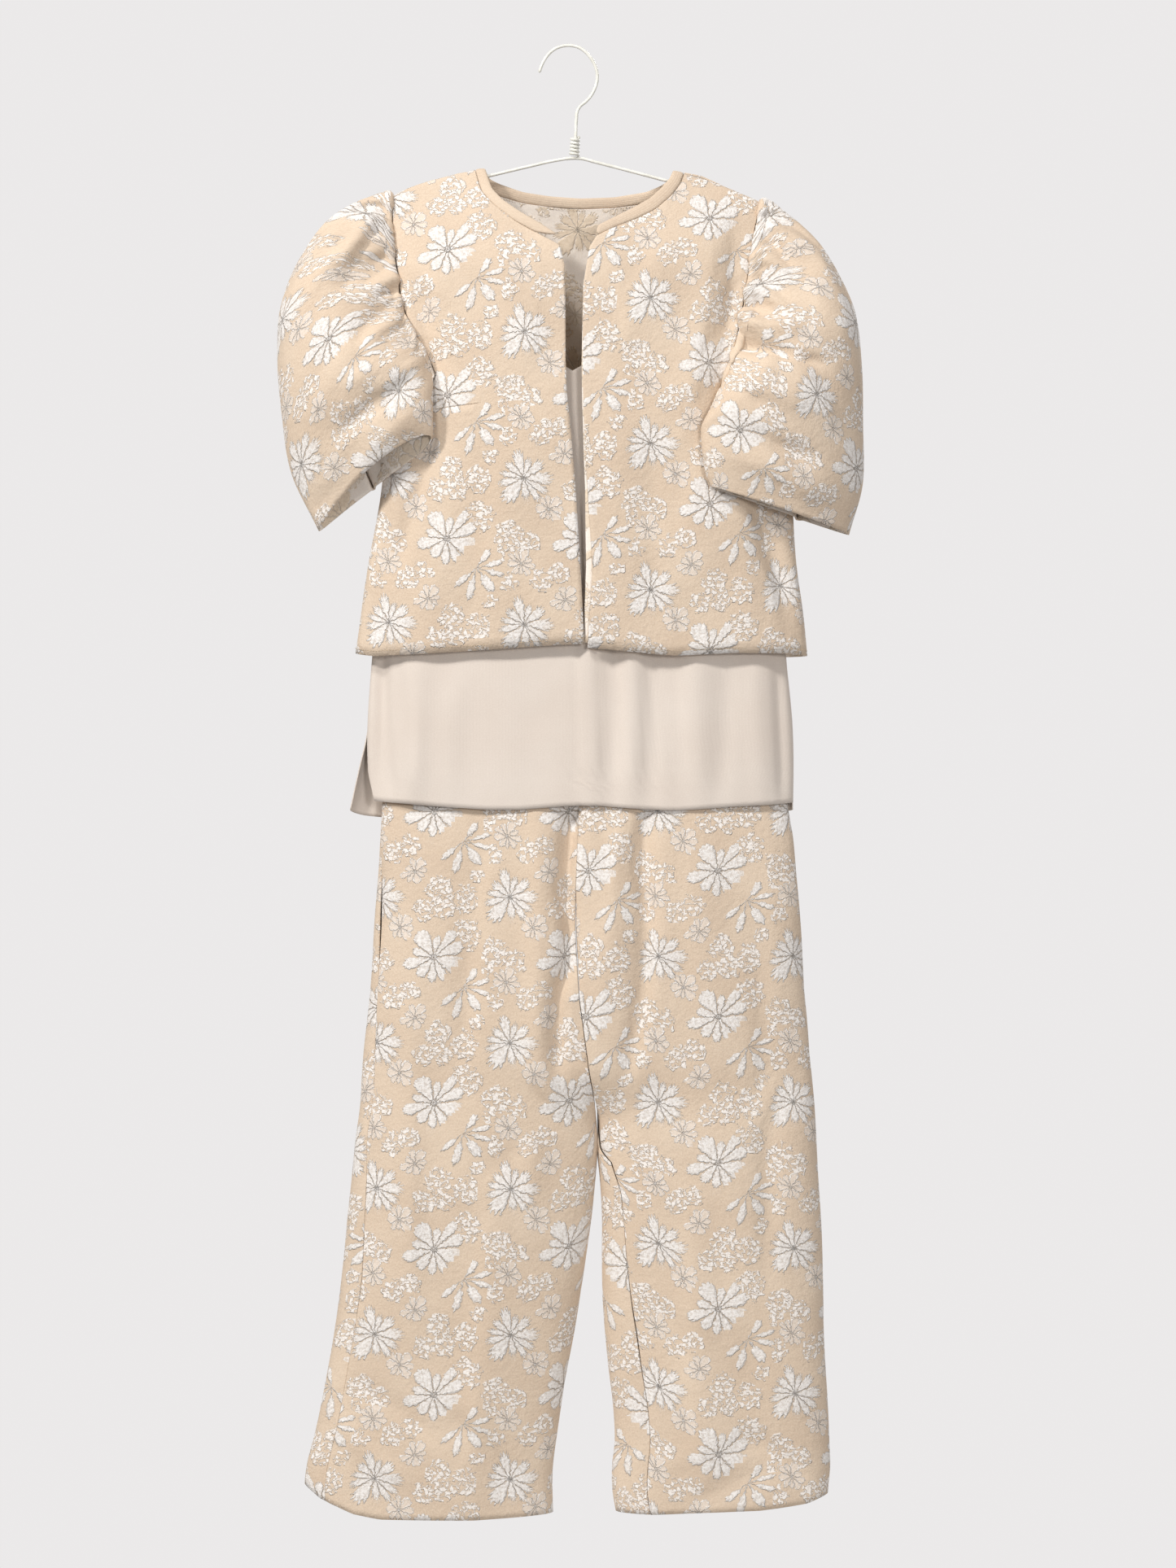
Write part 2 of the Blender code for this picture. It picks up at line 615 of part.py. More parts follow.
def wire_rings(path, radius, sides):
    """Round rings along a path given as x, z in the plane y = 0."""
    path = np.array(path, float)
    heading = unit(np.gradient(path, axis=0))
    turn = np.radians(np.arange(sides) * 360 / sides)
    out = np.stack([-heading[:, 1], heading[:, 0]], axis=-1)
    x = path[:, None, 0] + radius * np.cos(turn) * out[:, None, 0]
    z = path[:, None, 1] + radius * np.cos(turn) * out[:, None, 1]
    y = np.broadcast_to(radius * np.sin(turn), x.shape)
    return np.stack([x, y, z], axis=-1)


def ribbon_rings(path, width, thickness):
    """Flat rings of a ribbon whose width lies along x, on a path of x, y, z points."""
    path = np.array(path, float)
    heading = unit(np.gradient(path, axis=0))
    side = np.array([1.0, 0, 0])
    normal = unit(np.cross(heading, side))
    corners = [(-0.5, -0.5), (0.5, -0.5), (0.5, 0.5), (-0.5, 0.5)]
    return np.stack([path + side * width * a + normal * thickness * b for a, b in corners], axis=1)


def over_wire(x_wire, radius, count):
    """Points of a half turn over the hanger's arm, from its front to its back."""
    arms = np.array(ARM_PATH)
    z_wire = np.interp(x_wire, arms[:, 0], arms[:, 1])
    turn = np.radians(np.linspace(10, 170, count))
    return [(x_wire, -radius * np.cos(a), z_wire + radius * np.sin(a)) for a in turn]


def add_hanger(material):
    add_sweep("hanger_hook", wire_rings(HOOK_PATH, WIRE_RADIUS, 8), material)
    add_sweep("hanger_arms", wire_rings(ARM_PATH, WIRE_RADIUS, 8), material)
    height = np.linspace(TWIST_TOP, TWIST_END, 4 * TWIST_WRAPS + 1)
    phase = np.linspace(0, TWIST_WRAPS, len(height))
    radius = 3.7 + 1.5 * np.abs(np.sin(np.pi * phase)) + 0.5 * np.linspace(0, 1, len(height))
    turn = np.radians(np.arange(12) * 30)
    middle = TWIST_CENTRE + 0.05 * (height - TWIST_TOP)
    for_shape = [
        (middle[:, None] + radius[:, None] * np.cos(turn), radius[:, None] * np.sin(turn)),
        (middle[::-1, None] + 2.2 * np.cos(turn), 2.2 * np.ones((len(height), 1)) * np.sin(turn)),
    ]
    heights = [height, height[::-1]]
    walls = []
    for (x, y), z in zip(for_shape, heights):
        walls.append(np.stack([x, y, np.broadcast_to(z[:, None], x.shape)], axis=-1))
    rings = np.concatenate(walls)
    count = len(rings)
    faces = []
    for i in range(count):
        k = (i + 1) % count
        for j in range(12):
            n = (j + 1) % 12
            faces.append((i * 12 + j, i * 12 + n, k * 12 + n, k * 12 + j))
    add_solid("hanger_twist", rings.reshape(-1, 3), faces, material)


def jacket_panels(material):
    """The fronts and the back. It returns the middle grids, whose edges the sleeves and the binding follow."""
    left = patch(
        JACKET_SECTIONS, FRONT_LEFT_INNER, FRONT_LEFT_OUTER,
        table("x z", (118, -128.6), (134, -132), (154, -140), (175, -150), (195, -159)), FRONT_LEFT_HEM,
        lambda angle, z: jacket_point(-1, angle, z, JACKET_FRONT_FOLDS),
    )
    right = patch(
        JACKET_SECTIONS, FRONT_RIGHT_INNER, FRONT_RIGHT_OUTER,
        table("x z", (-94, -125.1), (-112, -128), (-137, -136), (-162, -145), (-178, -152)),
        turned(FRONT_RIGHT_HEM),
        lambda angle, z: jacket_point(-1, angle, z, JACKET_FRONT_FOLDS),
    )
    back = patch(
        JACKET_SECTIONS, BACK_RIGHT_EDGE, BACK_LEFT_EDGE, BACK_TOP, BACK_HEM,
        lambda angle, z: jacket_point(1, angle, z, JACKET_BACK_FOLDS),
    )
    left_rows = FRONT_ROWS + (0.141, 0.165, 0.21, 0.27, 0.33, 0.39, 0.4444, 0.49, 0.5338, 0.549, 0.5621) + LOWER_ROWS
    right_rows = FRONT_ROWS + (0.14, 0.168, 0.21, 0.26, 0.315, 0.367, 0.3974, 0.434, 0.4665, 0.477, 0.486, 0.54) + LOWER_ROWS
    back_rows = BACK_ROWS + (0.42, 0.455, 0.486, 0.525, 0.5621) + LOWER_ROWS
    seam = HALF_SEAM
    grids = {
        "jacket_front_left": cloth_grid(left, even(11), left_rows, (0, seam, seam, 0)),
        "jacket_front_right": cloth_grid(right, even(11), right_rows, (0, seam, seam, 0)),
        "jacket_back": cloth_grid(back, corner_shares(BACK_TOP), back_rows, (seam, seam, seam, 0)),
    }
    for name, (middle, normals) in grids.items():
        add_cloth(name, middle, normals, JACQUARD, material)
    return grids


def edge_points(edge, count):
    """Points at even steps along a polyline of 3-D points, both ends included."""
    steps = np.linalg.norm(np.diff(edge, axis=0), axis=1)
    reach = np.concatenate([[0], np.cumsum(steps)]) / steps.sum()
    return np.stack([np.interp(even(count), reach, column) for column in edge.T], axis=-1)


def armhole(front, back, notch, under_front, under_back):
    """The loop of the sleeve seam: down the front to the notch, under the arm, and up the back."""
    parts = [
        edge_points(front[: notch + 1], FRONT_SEAM_STEPS),
        edge_points(front[notch : under_front + 1], UNDER_SEAM_STEPS)[1:],
        edge_points(back[: under_back + 1][::-1], BACK_SEAM_STEPS)[1:-1],
    ]
    half = UNDER_SEAM_STEPS + BACK_SEAM_STEPS
    angles = np.concatenate([even(FRONT_SEAM_STEPS), 1 + np.arange(1, half) / half]) * np.pi
    return np.concatenate(parts), angles


def sleeve_ring(rings, v, angles):
    """A smooth closed ring through the outer, front, inner and back points of the table at v."""
    four = []
    for place in ("outer", "front", "inner", "back"):
        columns = {"z": rings["v"]} | {axis: rings[f"{place}_{axis}"] for axis in "xy"} | {"h": rings[f"{place}_z"]}
        four.append(np.array([float(read(columns, axis, np.array(v))) for axis in ("x", "y", "h")]))
    outer, front, inner, back = four
    centre = (outer + front + inner + back) / 4
    long_way, deep_way = (outer - inner) / 2, (front - back) / 2
    skew = (outer + inner - front - back) / 4
    turn = angles[:, None]
    return centre + long_way * np.cos(turn) + deep_way * np.sin(turn) + skew * np.cos(2 * turn)


def clear_of_jacket(points, angles, room):
    """The ring moved in front of, or behind, the part of the jacket that it would run into, with room left."""
    x, z = points[:, 0], points[:, 2]
    low, high = read(JACKET_SECTIONS, "x_low", z) - room, read(JACKET_SECTIONS, "x_high", z) + room
    u = np.clip((2 * x - low - high) / (high - low), -1, 1)
    depth = (1 - np.abs(u) ** ROUNDNESS) ** (1 / ROUNDNESS)
    drop = np.maximum(np.interp(x, SHOULDER_LINE["x"], SHOULDER_LINE["z"]) - z, 0)
    fall = np.sin(np.pi / 2 * np.minimum(1, drop / SHOULDER_FALL))
    ridges = np.maximum(folds(JACKET_FRONT_FOLDS, x, z), 0)
    front = -(read(JACKET_SECTIONS, "front", z) + room + ridges) * fall * depth
    back = (read(JACKET_SECTIONS, "back", z) + room) * fall * depth
    wanted = np.where(angles < 1.42 * np.pi, np.minimum(points[:, 1], front), np.maximum(points[:, 1], back))
    points[:, 1] = np.where(np.abs(u) < 1, wanted, points[:, 1])
    return points


def grid_normals(middle):
    """Normals of a grid that closes on itself along its first index."""
    round_way = np.roll(middle, -1, axis=0) - np.roll(middle, 1, axis=0)
    return unit(np.cross(round_way, np.gradient(middle, axis=1)))


def add_sleeve(name, rings, loop, angles, away, lift, material):
    middle = []
    for v in SLEEVE_RINGS:
        weight = 1 - (1 - min(v / 0.3, 1)) ** 2.0
        start = loop + away * 1.5
        points = (1 - weight) * start + weight * sleeve_ring(rings, max(v, rings["v"][0]), angles)
        if 0 < v < 0.03:
            under = smooth(1 - np.abs(angles / np.pi - 1.13) / 0.25)
            points = start + lift * (2.6 + 1.6 * under)[:, None]
        elif v > 0:
            points = clear_of_jacket(points, angles, 9)
        middle.append(points)
    middle = np.stack(middle, axis=1)
    normals = grid_normals(middle)
    outward = np.sign(np.sum(normals[:, 4] * (middle[:, 4] - middle[:, 4].mean(axis=0))))
    degrees = np.degrees(angles)[:, None]
    v = np.array(SLEEVE_RINGS)[None, :]
    rise = np.zeros(middle.shape[:2])
    for k in range(len(GATHERS["angle"])):
        off = (degrees - GATHERS["angle"][k] + 180) % 360 - 180
        start = smooth((v + 0.015) / 0.07)
        fade = smooth((GATHERS["reach"][k] - v) / GATHERS["reach"][k] * 1.3)
        rise += GATHERS["height"][k] * np.exp(-((off / GATHERS["width"][k]) ** 2)) * start * fade
    front = (np.sin(angles) > 0.1)[:, None]
    draped = folds(SLEEVE_FRONT_FOLDS, middle[..., 0], middle[..., 2]) * smooth(v / 0.1) * front
    middle = middle + outward * normals * (rise - 1.0 * smooth(v / 0.1) + draped)[..., None]
    add_cloth(name, middle, grid_normals(middle), JACQUARD, material, closed=True)


def outward_from(grid, column):
    """Directions along the cloth, away from a panel at its first or last column."""
    step = grid[column] - grid[1 if column == 0 else -2]
    along = np.gradient(grid[column], axis=0)
    step = step - along * np.sum(step * along, axis=1, keepdims=True) / np.sum(along**2, axis=1, keepdims=True)
    return unit(step)


def add_sleeves(grids, material):
    back, back_normals = grids["jacket_back"]
    back_normals = back_normals * np.sign(back_normals[8, 8, 1])
    for name, rings, panel, back_column, notch, under, under_back in (
        ("sleeve_left", SLEEVE_LEFT_RINGS, "jacket_front_left", -1, 13, 17, 13),
        ("sleeve_right", SLEEVE_RIGHT_RINGS, "jacket_front_right", 0, 13, 17, 11),
    ):
        front, front_normals = grids[panel]
        front_normals = -front_normals * np.sign(front_normals[5, 8, 1])
        loop, angles = armhole(front[-1], back[back_column], notch, under, under_back)
        away_front, away_back = outward_from(front, -1), outward_from(back, back_column)
        away, _ = armhole(
            np.concatenate([front[-1], away_front], axis=1), np.concatenate([back[back_column], away_back], axis=1),
            notch, under, under_back,
        )
        away = unit(away[:, 3:])
        away[0] = (np.sign(loop[0, 0]), 0, 0)
        away[FRONT_SEAM_STEPS + UNDER_SEAM_STEPS] = (0, 0, 1)
        lift, _ = armhole(
            np.concatenate([front[-1], front_normals[-1]], axis=1),
            np.concatenate([back[back_column], back_normals[back_column]], axis=1),
            notch, under, under_back,
        )
        add_sleeve(name, rings, loop, angles, away, unit(lift[:, 3:]), material)


def add_binding(grids, material):
    """The rolled band round the neck, whose seam side follows the panels' edges."""
    stations = []
    left, right, back = (grids[key][0] for key in ("jacket_front_left", "jacket_front_right", "jacket_back"))
    neck_rows = len(FRONT_ROWS) + 1
    wire_room = np.array([0, 1.6, 0])

    def front_free(curve, count):
        x, z = share_of(curve, np.array(FRONT_ROWS[:count] + (0.141,)[: max(0, count - len(FRONT_ROWS))]) / 0.141)
        return jacket_point(-1, angle_of(JACKET_SECTIONS, x, z), z) - wire_room * smooth(-z[:, None] / 4 - 31)

    free_left = front_free(BINDING_FREE_EDGE_LEFT, neck_rows)
    free_right = front_free(BINDING_FREE_EDGE_RIGHT, neck_rows)
    for k in range(neck_rows - 1, 0, -1):
        stations.append((left[0, k], free_left[k]))
    columns = corner_shares(BACK_TOP)
    x_seam, _ = length_of(BACK_TOP, columns)
    neck = np.nonzero((x_seam > -94.2) & (x_seam < 118.2))[0]
    share = (columns[neck] - columns[neck][0]) / (columns[neck][-1] - columns[neck][0])
    x, z = length_of(BINDING_FREE_EDGE_BACK, share)
    free_back = jacket_point(1, angle_of(JACKET_SECTIONS, x, z), z) + wire_room * smooth(-z[:, None] / 4 - 31)
    for k in range(len(neck) - 1, -1, -1):
        stations.append((back[neck[k], 0], free_back[k]))
    for k in range(1, neck_rows):
        stations.append((right[0, k], free_right[k]))
    seam = np.array([pair[0] for pair in stations])
    free = np.array([pair[1] for pair in stations])
    over = free - seam
    heading = unit(np.gradient((seam + free) / 2, axis=0))
    normal = unit(np.cross(heading, over))
    seam = seam + unit(over) * 0.7
    over = free - seam
    rings = [
        seam + over * share + normal * lift for share, lift in zip(BINDING_PROFILE["share"], BINDING_PROFILE["lift"])
    ]
    add_sweep("neck_binding", np.stack(rings, axis=1), material)


def add_facing(material):
    """The turned strip behind the left front's edge, which shows past it lower down."""
    z = np.linspace(-212, -606, 20)
    edge = np.interp(-z, -FRONT_LEFT_INNER["z"], FRONT_LEFT_INNER["x"])
    start = edge - np.interp(-z, -FACING["z"], FACING["past_edge"])
    x = start + even(3)[:, None] * (edge + FACING_WIDTH - start)
    z = np.broadcast_to(z, x.shape)
    middle = jacket_point(-1, angle_of(JACKET_SECTIONS, x, z), z, JACKET_FRONT_FOLDS)
    middle[..., 1] += FACING_BEHIND
    normals = np.zeros_like(middle)
    normals[..., 1] = 1
    add_cloth("front_facing_left", middle, normals, JACQUARD * 0.75, material)


def add_under_top(material):
    front = patch(
        TOP_SECTIONS, TOP_FRONT_RIGHT_EDGE, TOP_FRONT_LEFT_EDGE, TOP_FRONT_TOP, TOP_FRONT_HEM,
        lambda angle, z: top_point(-1, angle, z),
    )
    back = patch(
        TOP_BACK_SECTIONS, TOP_BACK_RIGHT_EDGE, TOP_BACK_LEFT_EDGE, TOP_BACK_TOP, TOP_BACK_HEM,
        lambda angle, z: top_point(1, angle, z), even_top=True,
    )
    at = corner_shares(TOP_FRONT_TOP)
    columns = np.unique(np.round(np.concatenate([at, (at[1:-1][:-1] + at[1:-1][1:]) / 2]), 6))
    rows = (0, 0.06, 0.13, 0.1965, 0.27, 0.36, 0.46, 0.56, 0.66, 0.75, 0.83, 0.91, 1)
    seam = HALF_SEAM
    add_cloth("top_front", *cloth_grid(front, columns, rows, (seam, seam, 0, 0)), KNIT, material)
    rows = (0, 0.09, 0.2, 0.32, 0.44, 0.56, 0.67, 0.77, 0.85, 0.93, 1)
    add_cloth("top_back", *cloth_grid(back, even(14), rows, (seam, seam, 0, 0)), KNIT, material)
    for k, name in enumerate(("top_strap_right", "top_strap_left")):
        row = {column: values[k] for column, values in STRAPS.items()}
        z_front, z_back = row["z_front"] + 1.5, row["z_back"] + 1.5
        ends = []
        for side, x, z in ((-1, row["x_front"], z_front), (1, row["x_back"], z_back)):
            ends.append(top_point(side, angle_of(TOP_SECTIONS, x, z), z))
        over = over_wire(row["x_wire"], WIRE_RADIUS + 1.3 + KNIT / 2, 9)
        front_run = [ends[0] + (np.array(over[0]) - ends[0]) * f for f in (0, 0.3, 0.6, 0.9)]
        back_run = [np.array(over[-1]) + (ends[1] - np.array(over[-1])) * f for f in (0.1, 0.4, 0.7, 1)]
        path = np.array(front_run + [np.array(point) for point in over] + back_run)
        add_sweep(name, ribbon_rings(path, STRAP_WIDTH, KNIT), material)


def add_trousers(material, tape_material):
    seam = HALF_SEAM
    for leg, side in ((1, "left"), (-1, "right")):
        for part in ("front", "back"):
            grid = cloth_grid(trouser_surface(leg, part), even(8), TROUSER_ROWS, (2 * seam, seam, seam, 0))
            add_cloth(f"trouser_{part}_{side}", *grid, JACQUARD, material)
    turn, z = np.meshgrid(np.radians(np.arange(0, 360, 9)), np.linspace(WAIST_TOP, WAIST_SEAM + seam, 3), indexing="ij")
    band = ring_point(HIP_SECTIONS, turn, z)
    add_cloth("waistband", band, grid_normals(band), 2.2, material, closed=True)
    for k, name in enumerate(("tape_right", "tape_left")):
        x_wire, x_waist = TAPES["x_wire"][k], TAPES["x_waist"][k]
        over = over_wire(x_wire, WIRE_RADIUS + 1.05 + 0.5, 9)
        z = np.array([WAIST_TOP - 5, WAIST_TOP + 10, TAPE_STRAIGHT_TO, -400, -280, over[0][2] - 12])
        x = np.interp(z, (WAIST_TOP - 5, TAPE_STRAIGHT_TO), (x_waist, x_wire))
        path = [(x[i], -3.2, z[i]) for i in range(6)] + over + [(x[i], 3.2, z[i]) for i in range(5, -1, -1)]
        add_sweep(name, ribbon_rings(path, TAPE_WIDTH, 1.0), tape_material)


def build():
    for obj in list(bpy.data.objects):
        bpy.data.objects.remove(obj)
    collection = bpy.data.collections.new("garment")
    bpy.context.scene.collection.children.link(collection)
    materials = {name: make_material(name) for name in MATERIALS}
    add_hanger(materials["wire"])
    grids = jacket_panels(materials["jacquard"])
    add_sleeves(grids, materials["jacquard"])
    add_binding(grids, materials["jacquard"])
    add_facing(materials["jacquard"])
    add_under_top(materials["knit"])
    add_trousers(materials["jacquard"], materials["tape"])


build()
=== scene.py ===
import bmesh
import bpy
import numpy as np
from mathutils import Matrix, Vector


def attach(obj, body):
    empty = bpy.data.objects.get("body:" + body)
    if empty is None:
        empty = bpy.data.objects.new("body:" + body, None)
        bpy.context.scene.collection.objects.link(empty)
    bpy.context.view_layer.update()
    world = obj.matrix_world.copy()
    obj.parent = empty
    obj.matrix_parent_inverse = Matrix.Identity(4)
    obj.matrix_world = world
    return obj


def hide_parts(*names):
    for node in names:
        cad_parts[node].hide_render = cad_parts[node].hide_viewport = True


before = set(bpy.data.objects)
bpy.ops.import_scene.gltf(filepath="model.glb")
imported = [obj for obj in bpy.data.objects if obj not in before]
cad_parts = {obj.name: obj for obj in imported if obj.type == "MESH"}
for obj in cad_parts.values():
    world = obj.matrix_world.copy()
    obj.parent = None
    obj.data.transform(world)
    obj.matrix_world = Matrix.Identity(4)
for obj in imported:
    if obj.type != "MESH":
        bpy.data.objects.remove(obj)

# Sizes in millimetres. +X is the right of the picture, +Z is up, and the fronts face -Y.
MM = 0.001

# Thickness of each cloth, half the gap in a seam, and radii of the wire
JACQUARD, KNIT, BINDING, WAISTBAND, TAPE = 1.6, 1.2, 0.8, 2.2, 1.0
HALF_SEAM = 0.15
WIRE_RADIUS, TWIST_WIRE_RADIUS = 1.65, 1.6

# Sleeves: width of the flat cloth, gap to the seam, room to the jacket, and drift of the gathers in degrees
SLEEVE_WIDTH = 409.0
SLEEVE_START, SLEEVE_ROOM, GATHER_DRIFT = 1.5, 9, 9

# Stitches: height off the cloth, height above the hem, and the part of the neck that has them
STITCH_LIFT, HEM_STITCHES_UP, NECK_STITCHES = 0.05, 5.0, (-90, 114)

# How square a section is, a small step on a surface, and where the trousers and the floor end
ROUNDNESS = 2.4
FINE = 1e-5
HEM_LEVEL = -1475.0
FLOOR_RADIUS, FLOOR_LEVEL = 1000, -1800

# Steps in each row of a table, and sides of the swept pieces
FINER_FRONT, FINER_BACK = 4, 5
BINDING_SIDES, RIBBON_SIDES = 16, 12

# Folds: their bow, the width of their two sides, and how they fade past their ends
MOST_BOW, BOW_SHARE = 6.0, 0.04
SOFT_SIDE, STEEP_SIDE = 1.3, 0.75
FOLD_PAST_END, FOLD_FADE = 0.15, 0.4

# View in metres, and the world's light from behind the garments and from in front
CAMERA_DISTANCE, VIEW_HEIGHT = 4.0, 1.580
VIEW_CENTRE = 0.0205, -0.748
CLOTH_PLANE = -0.030
WALL_LIGHT, ROOM_LIGHT = 0.975, 0.36


def table(columns, *rows):
    values = np.array(rows, float)
    return dict(zip(columns.split(), values.T))


# Columns of the tables of sections and of folds
SECTION = "z x_low x_high front back"
FOLD = "x_top z_top x_end z_end width height"

# Jacket sizes
SHOULDER_LINE = table(
    "x z",
    (-215, -172), (-178, -152), (-162, -145), (-137, -136), (-112, -128), (-88, -124), (0, -118),
    (90, -122), (116, -128), (134, -132), (154, -140), (175, -150), (195, -159), (230, -178),
)
SHOULDER_ROUND = 3.3
SHOULDER_FALL = 110
JACKET_SECTIONS = table(
    SECTION,
    (-110, -187, 204, 34, 26), (-160, -187, 204, 35, 27), (-250, -185, 206, 37, 29),
    (-330, -184, 213, 39, 30), (-380, -184, 220, 40, 31), (-450, -189, 226, 40, 31),
    (-520, -200, 231, 39, 31), (-580, -210, 239, 37, 30), (-625, -217, 243, 36, 30),
)
FRONT_LEFT_INNER = table(
    "x z",
    (118, -128.6), (114, -140), (105, -153), (89, -168), (70, -178), (48, -187), (29, -196.5), (22, -208),
    (16, -245), (15, -327), (16, -368), (18, -417), (20, -450), (22, -483), (25, -532), (23, -565),
    (20, -611),
)
FRONT_LEFT_OUTER = table(
    "x z",
    (195, -159), (189, -187), (187, -208), (182, -239), (175, -273), (169, -306), (158, -337),
    (148, -363), (156, -384), (188, -404), (226, -417), (232, -418), (300, -618),
)
FRONT_RIGHT_INNER = table(
    "x z",
    (-94, -125.1), (-91, -137), (-87, -149), (-75, -163), (-55, -179), (-34, -191), (-8, -206),
    (-3, -226), (-2, -269), (-2, -319), (-1, -351), (4, -401), (8, -450), (11, -499), (14, -548),
    (16, -589), (17, -607),
)
FRONT_RIGHT_OUTER = table(
    "x z",
    (-178, -152), (-177, -191), (-175, -214), (-171, -237), (-168, -260), (-162, -276), (-153, -295),
    (-138, -322), (-133, -336), (-141, -353), (-162, -368), (-186, -377), (-192, -378), (-300, -615),
)
FRONT_LEFT_HEM = table(
    "x z",
    (20, -611), (43, -613), (84, -617), (109, -619), (166, -616), (207, -616), (244, -618),
)
FRONT_RIGHT_HEM = table(
    "x z",
    (-220, -615), (-194, -619), (-145, -617), (-80, -613), (-6, -608), (17, -607),
)
BACK_TOP = table(
    "x z",
    (-178, -152), (-162, -145), (-137, -136), (-112, -128), (-94, -125.1), (-93, -133), (-88, -141),
    (-74, -148), (-48, -156), (-19, -160), (13, -162), (47, -161), (83, -156), (103, -149), (113, -142),
    (117.5, -135), (118, -128.6), (134, -132), (154, -140), (175, -150), (195, -159),
)
BACK_LEFT_EDGE = table(
    "x z",
    (195, -159), (190, -200), (187, -250), (188, -300), (194, -345), (205, -385), (226, -417),
    (232, -418), (300, -618),
)
BACK_RIGHT_EDGE = table(
    "x z",
    (-178, -152), (-170, -200), (-163, -245), (-160, -285), (-164, -325), (-172, -352), (-186, -377),
    (-192, -378), (-300, -615),
)
BACK_HEM = table("x z", (-220, -615), (-120, -620), (0, -618), (120, -620), (244, -618))
JACKET_FRONT_FOLDS = table(
    FOLD,
    (-132, -395, -172, -535, 11, -7.0), (-108, -410, -146, -575, 17, 3.0),
    (-146, -245, -130, -335, 9, -4.5), (170, -190, 146, -390, 12, -6.0), (146, -200, 120, -390, 13, 4.0),
    (187, -452, 222, -565, 10, -7.0), (160, -440, 184, -590, 17, 3.0), (96, -200, 60, -300, 15, 2.0),
    (-66, -205, -30, -330, 17, 2.0), (-70, -360, -76, -600, 22, 3.5), (84, -400, 92, -600, 20, -3.5),
    (50, -330, 44, -600, 20, 1.8),
    # finer creases
    (-168, -215, -120, -262, 7, 1.6), (-166, -240, -126, -300, 8, -1.8), (-150, -300, -92, -345, 9, -1.6),
    (-128, -340, -84, -420, 11, 1.6), (180, -225, 140, -270, 7, 1.5), (170, -262, 128, -322, 9, -1.7),
    (150, -345, 100, -400, 10, -1.5), (142, -390, 118, -500, 13, 1.8), (-184, -420, -196, -600, 8, -2.4),
    (208, -440, 222, -600, 9, -2.2), (-30, -215, -40, -330, 12, 1.2), (44, -200, 62, -310, 12, 1.2),
    (-140, -470, -70, -500, 14, -1.0), (60, -500, 150, -530, 15, 1.0), (-40, -560, 0, -600, 12, 1.0),
    (110, -560, 130, -612, 12, -1.2), (-100, -560, -104, -612, 12, -1.0), (0, -240, 10, -330, 14, -1.0),
)
JACKET_BACK_FOLDS = table(
    FOLD,
    (-100, -190, -60, -420, 20, -3.0), (120, -190, 80, -420, 20, -3.0), (-140, -390, -150, -600, 18, 3.5),
    (-40, -300, -50, -600, 22, 3.0), (60, -330, 70, -600, 20, -3.0), (160, -410, 170, -600, 18, 3.5),
    # finer creases
    (-150, -260, -100, -330, 9, 1.6), (160, -260, 110, -330, 9, 1.6), (-90, -420, -40, -470, 12, -1.4),
    (90, -430, 40, -480, 12, -1.4), (-170, -450, -180, -600, 9, -2.0), (190, -450, 204, -600, 9, -2.0),
    (0, -200, 4, -400, 14, 1.4),
)
FRONT_ROWS = (0, 0.004, 0.012, 0.03, 0.055, 0.085, 0.115)
BACK_ROWS = (0, 0.004, 0.012, 0.04, 0.09, 0.15, 0.22, 0.3, 0.38)
LOWER_ROWS = (0.6, 0.67, 0.74, 0.82, 0.9, 1)

# Neck binding, a row per point of its free edge from the left front round the back to the right front
BINDING_FREE_EDGE_LEFT = table(
    "x z",
    (107, -126), (104, -134), (97, -143), (84, -156), (66, -167), (47, -177), (29, -186.5),
)
BINDING_FREE_EDGE_RIGHT = table(
    "x z",
    (-84, -124), (-81, -134), (-77, -146), (-66, -158), (-48, -171), (-30, -182), (-9, -196),
)
BINDING_FREE_EDGE_BACK = table(
    "x z",
    (-84, -124), (-80, -133), (-69, -138), (-46, -145.5), (-18, -149.5), (13, -151.5), (47, -150.5),
    (80, -145.5), (96, -139), (103, -134), (107, -126),
)
FACING = table(
    "z past_edge",
    (-212, 0), (-260, 0.5), (-330, 1), (-400, 1.5), (-450, 2.5), (-490, 4.5), (-535, 6.5), (-570, 5.5),
    (-607, 3),
)
FACING_WIDTH = 24
FACING_BEHIND = 2.3

# Sleeve sizes, a row per ring: its outer, front, inner and back points
SLEEVE_RIGHT_RINGS = table(
    "v outer_x outer_y outer_z front_x front_y front_z inner_x inner_y inner_z back_x back_y back_z",
    (0.08, -200, 0, -149, -190, -32, -250, -136, -38, -341, -188, 22, -262),
    (0.20, -237, -2, -171, -216, -44, -262, -135, -41, -349, -210, 26, -280),
    (0.33, -273, -5, -221, -228, -53, -285, -135, -42, -358, -224, 24, -305),
    (0.46, -292, -8, -270, -233, -57, -312, -135, -42, -367, -234, 18, -332),
    (0.60, -294, -10, -325, -231, -58, -342, -135, -42, -377, -236, 12, -362),
    (0.75, -288, -12, -385, -225, -55, -376, -135, -41, -387, -233, 6, -395),
    (0.88, -277, -14, -440, -210, -50, -402, -135, -41, -396, -225, 0, -424),
    (1.00, -251, -16, -489, -186, -45, -420, -137, -40, -404, -209, -4, -458),
)
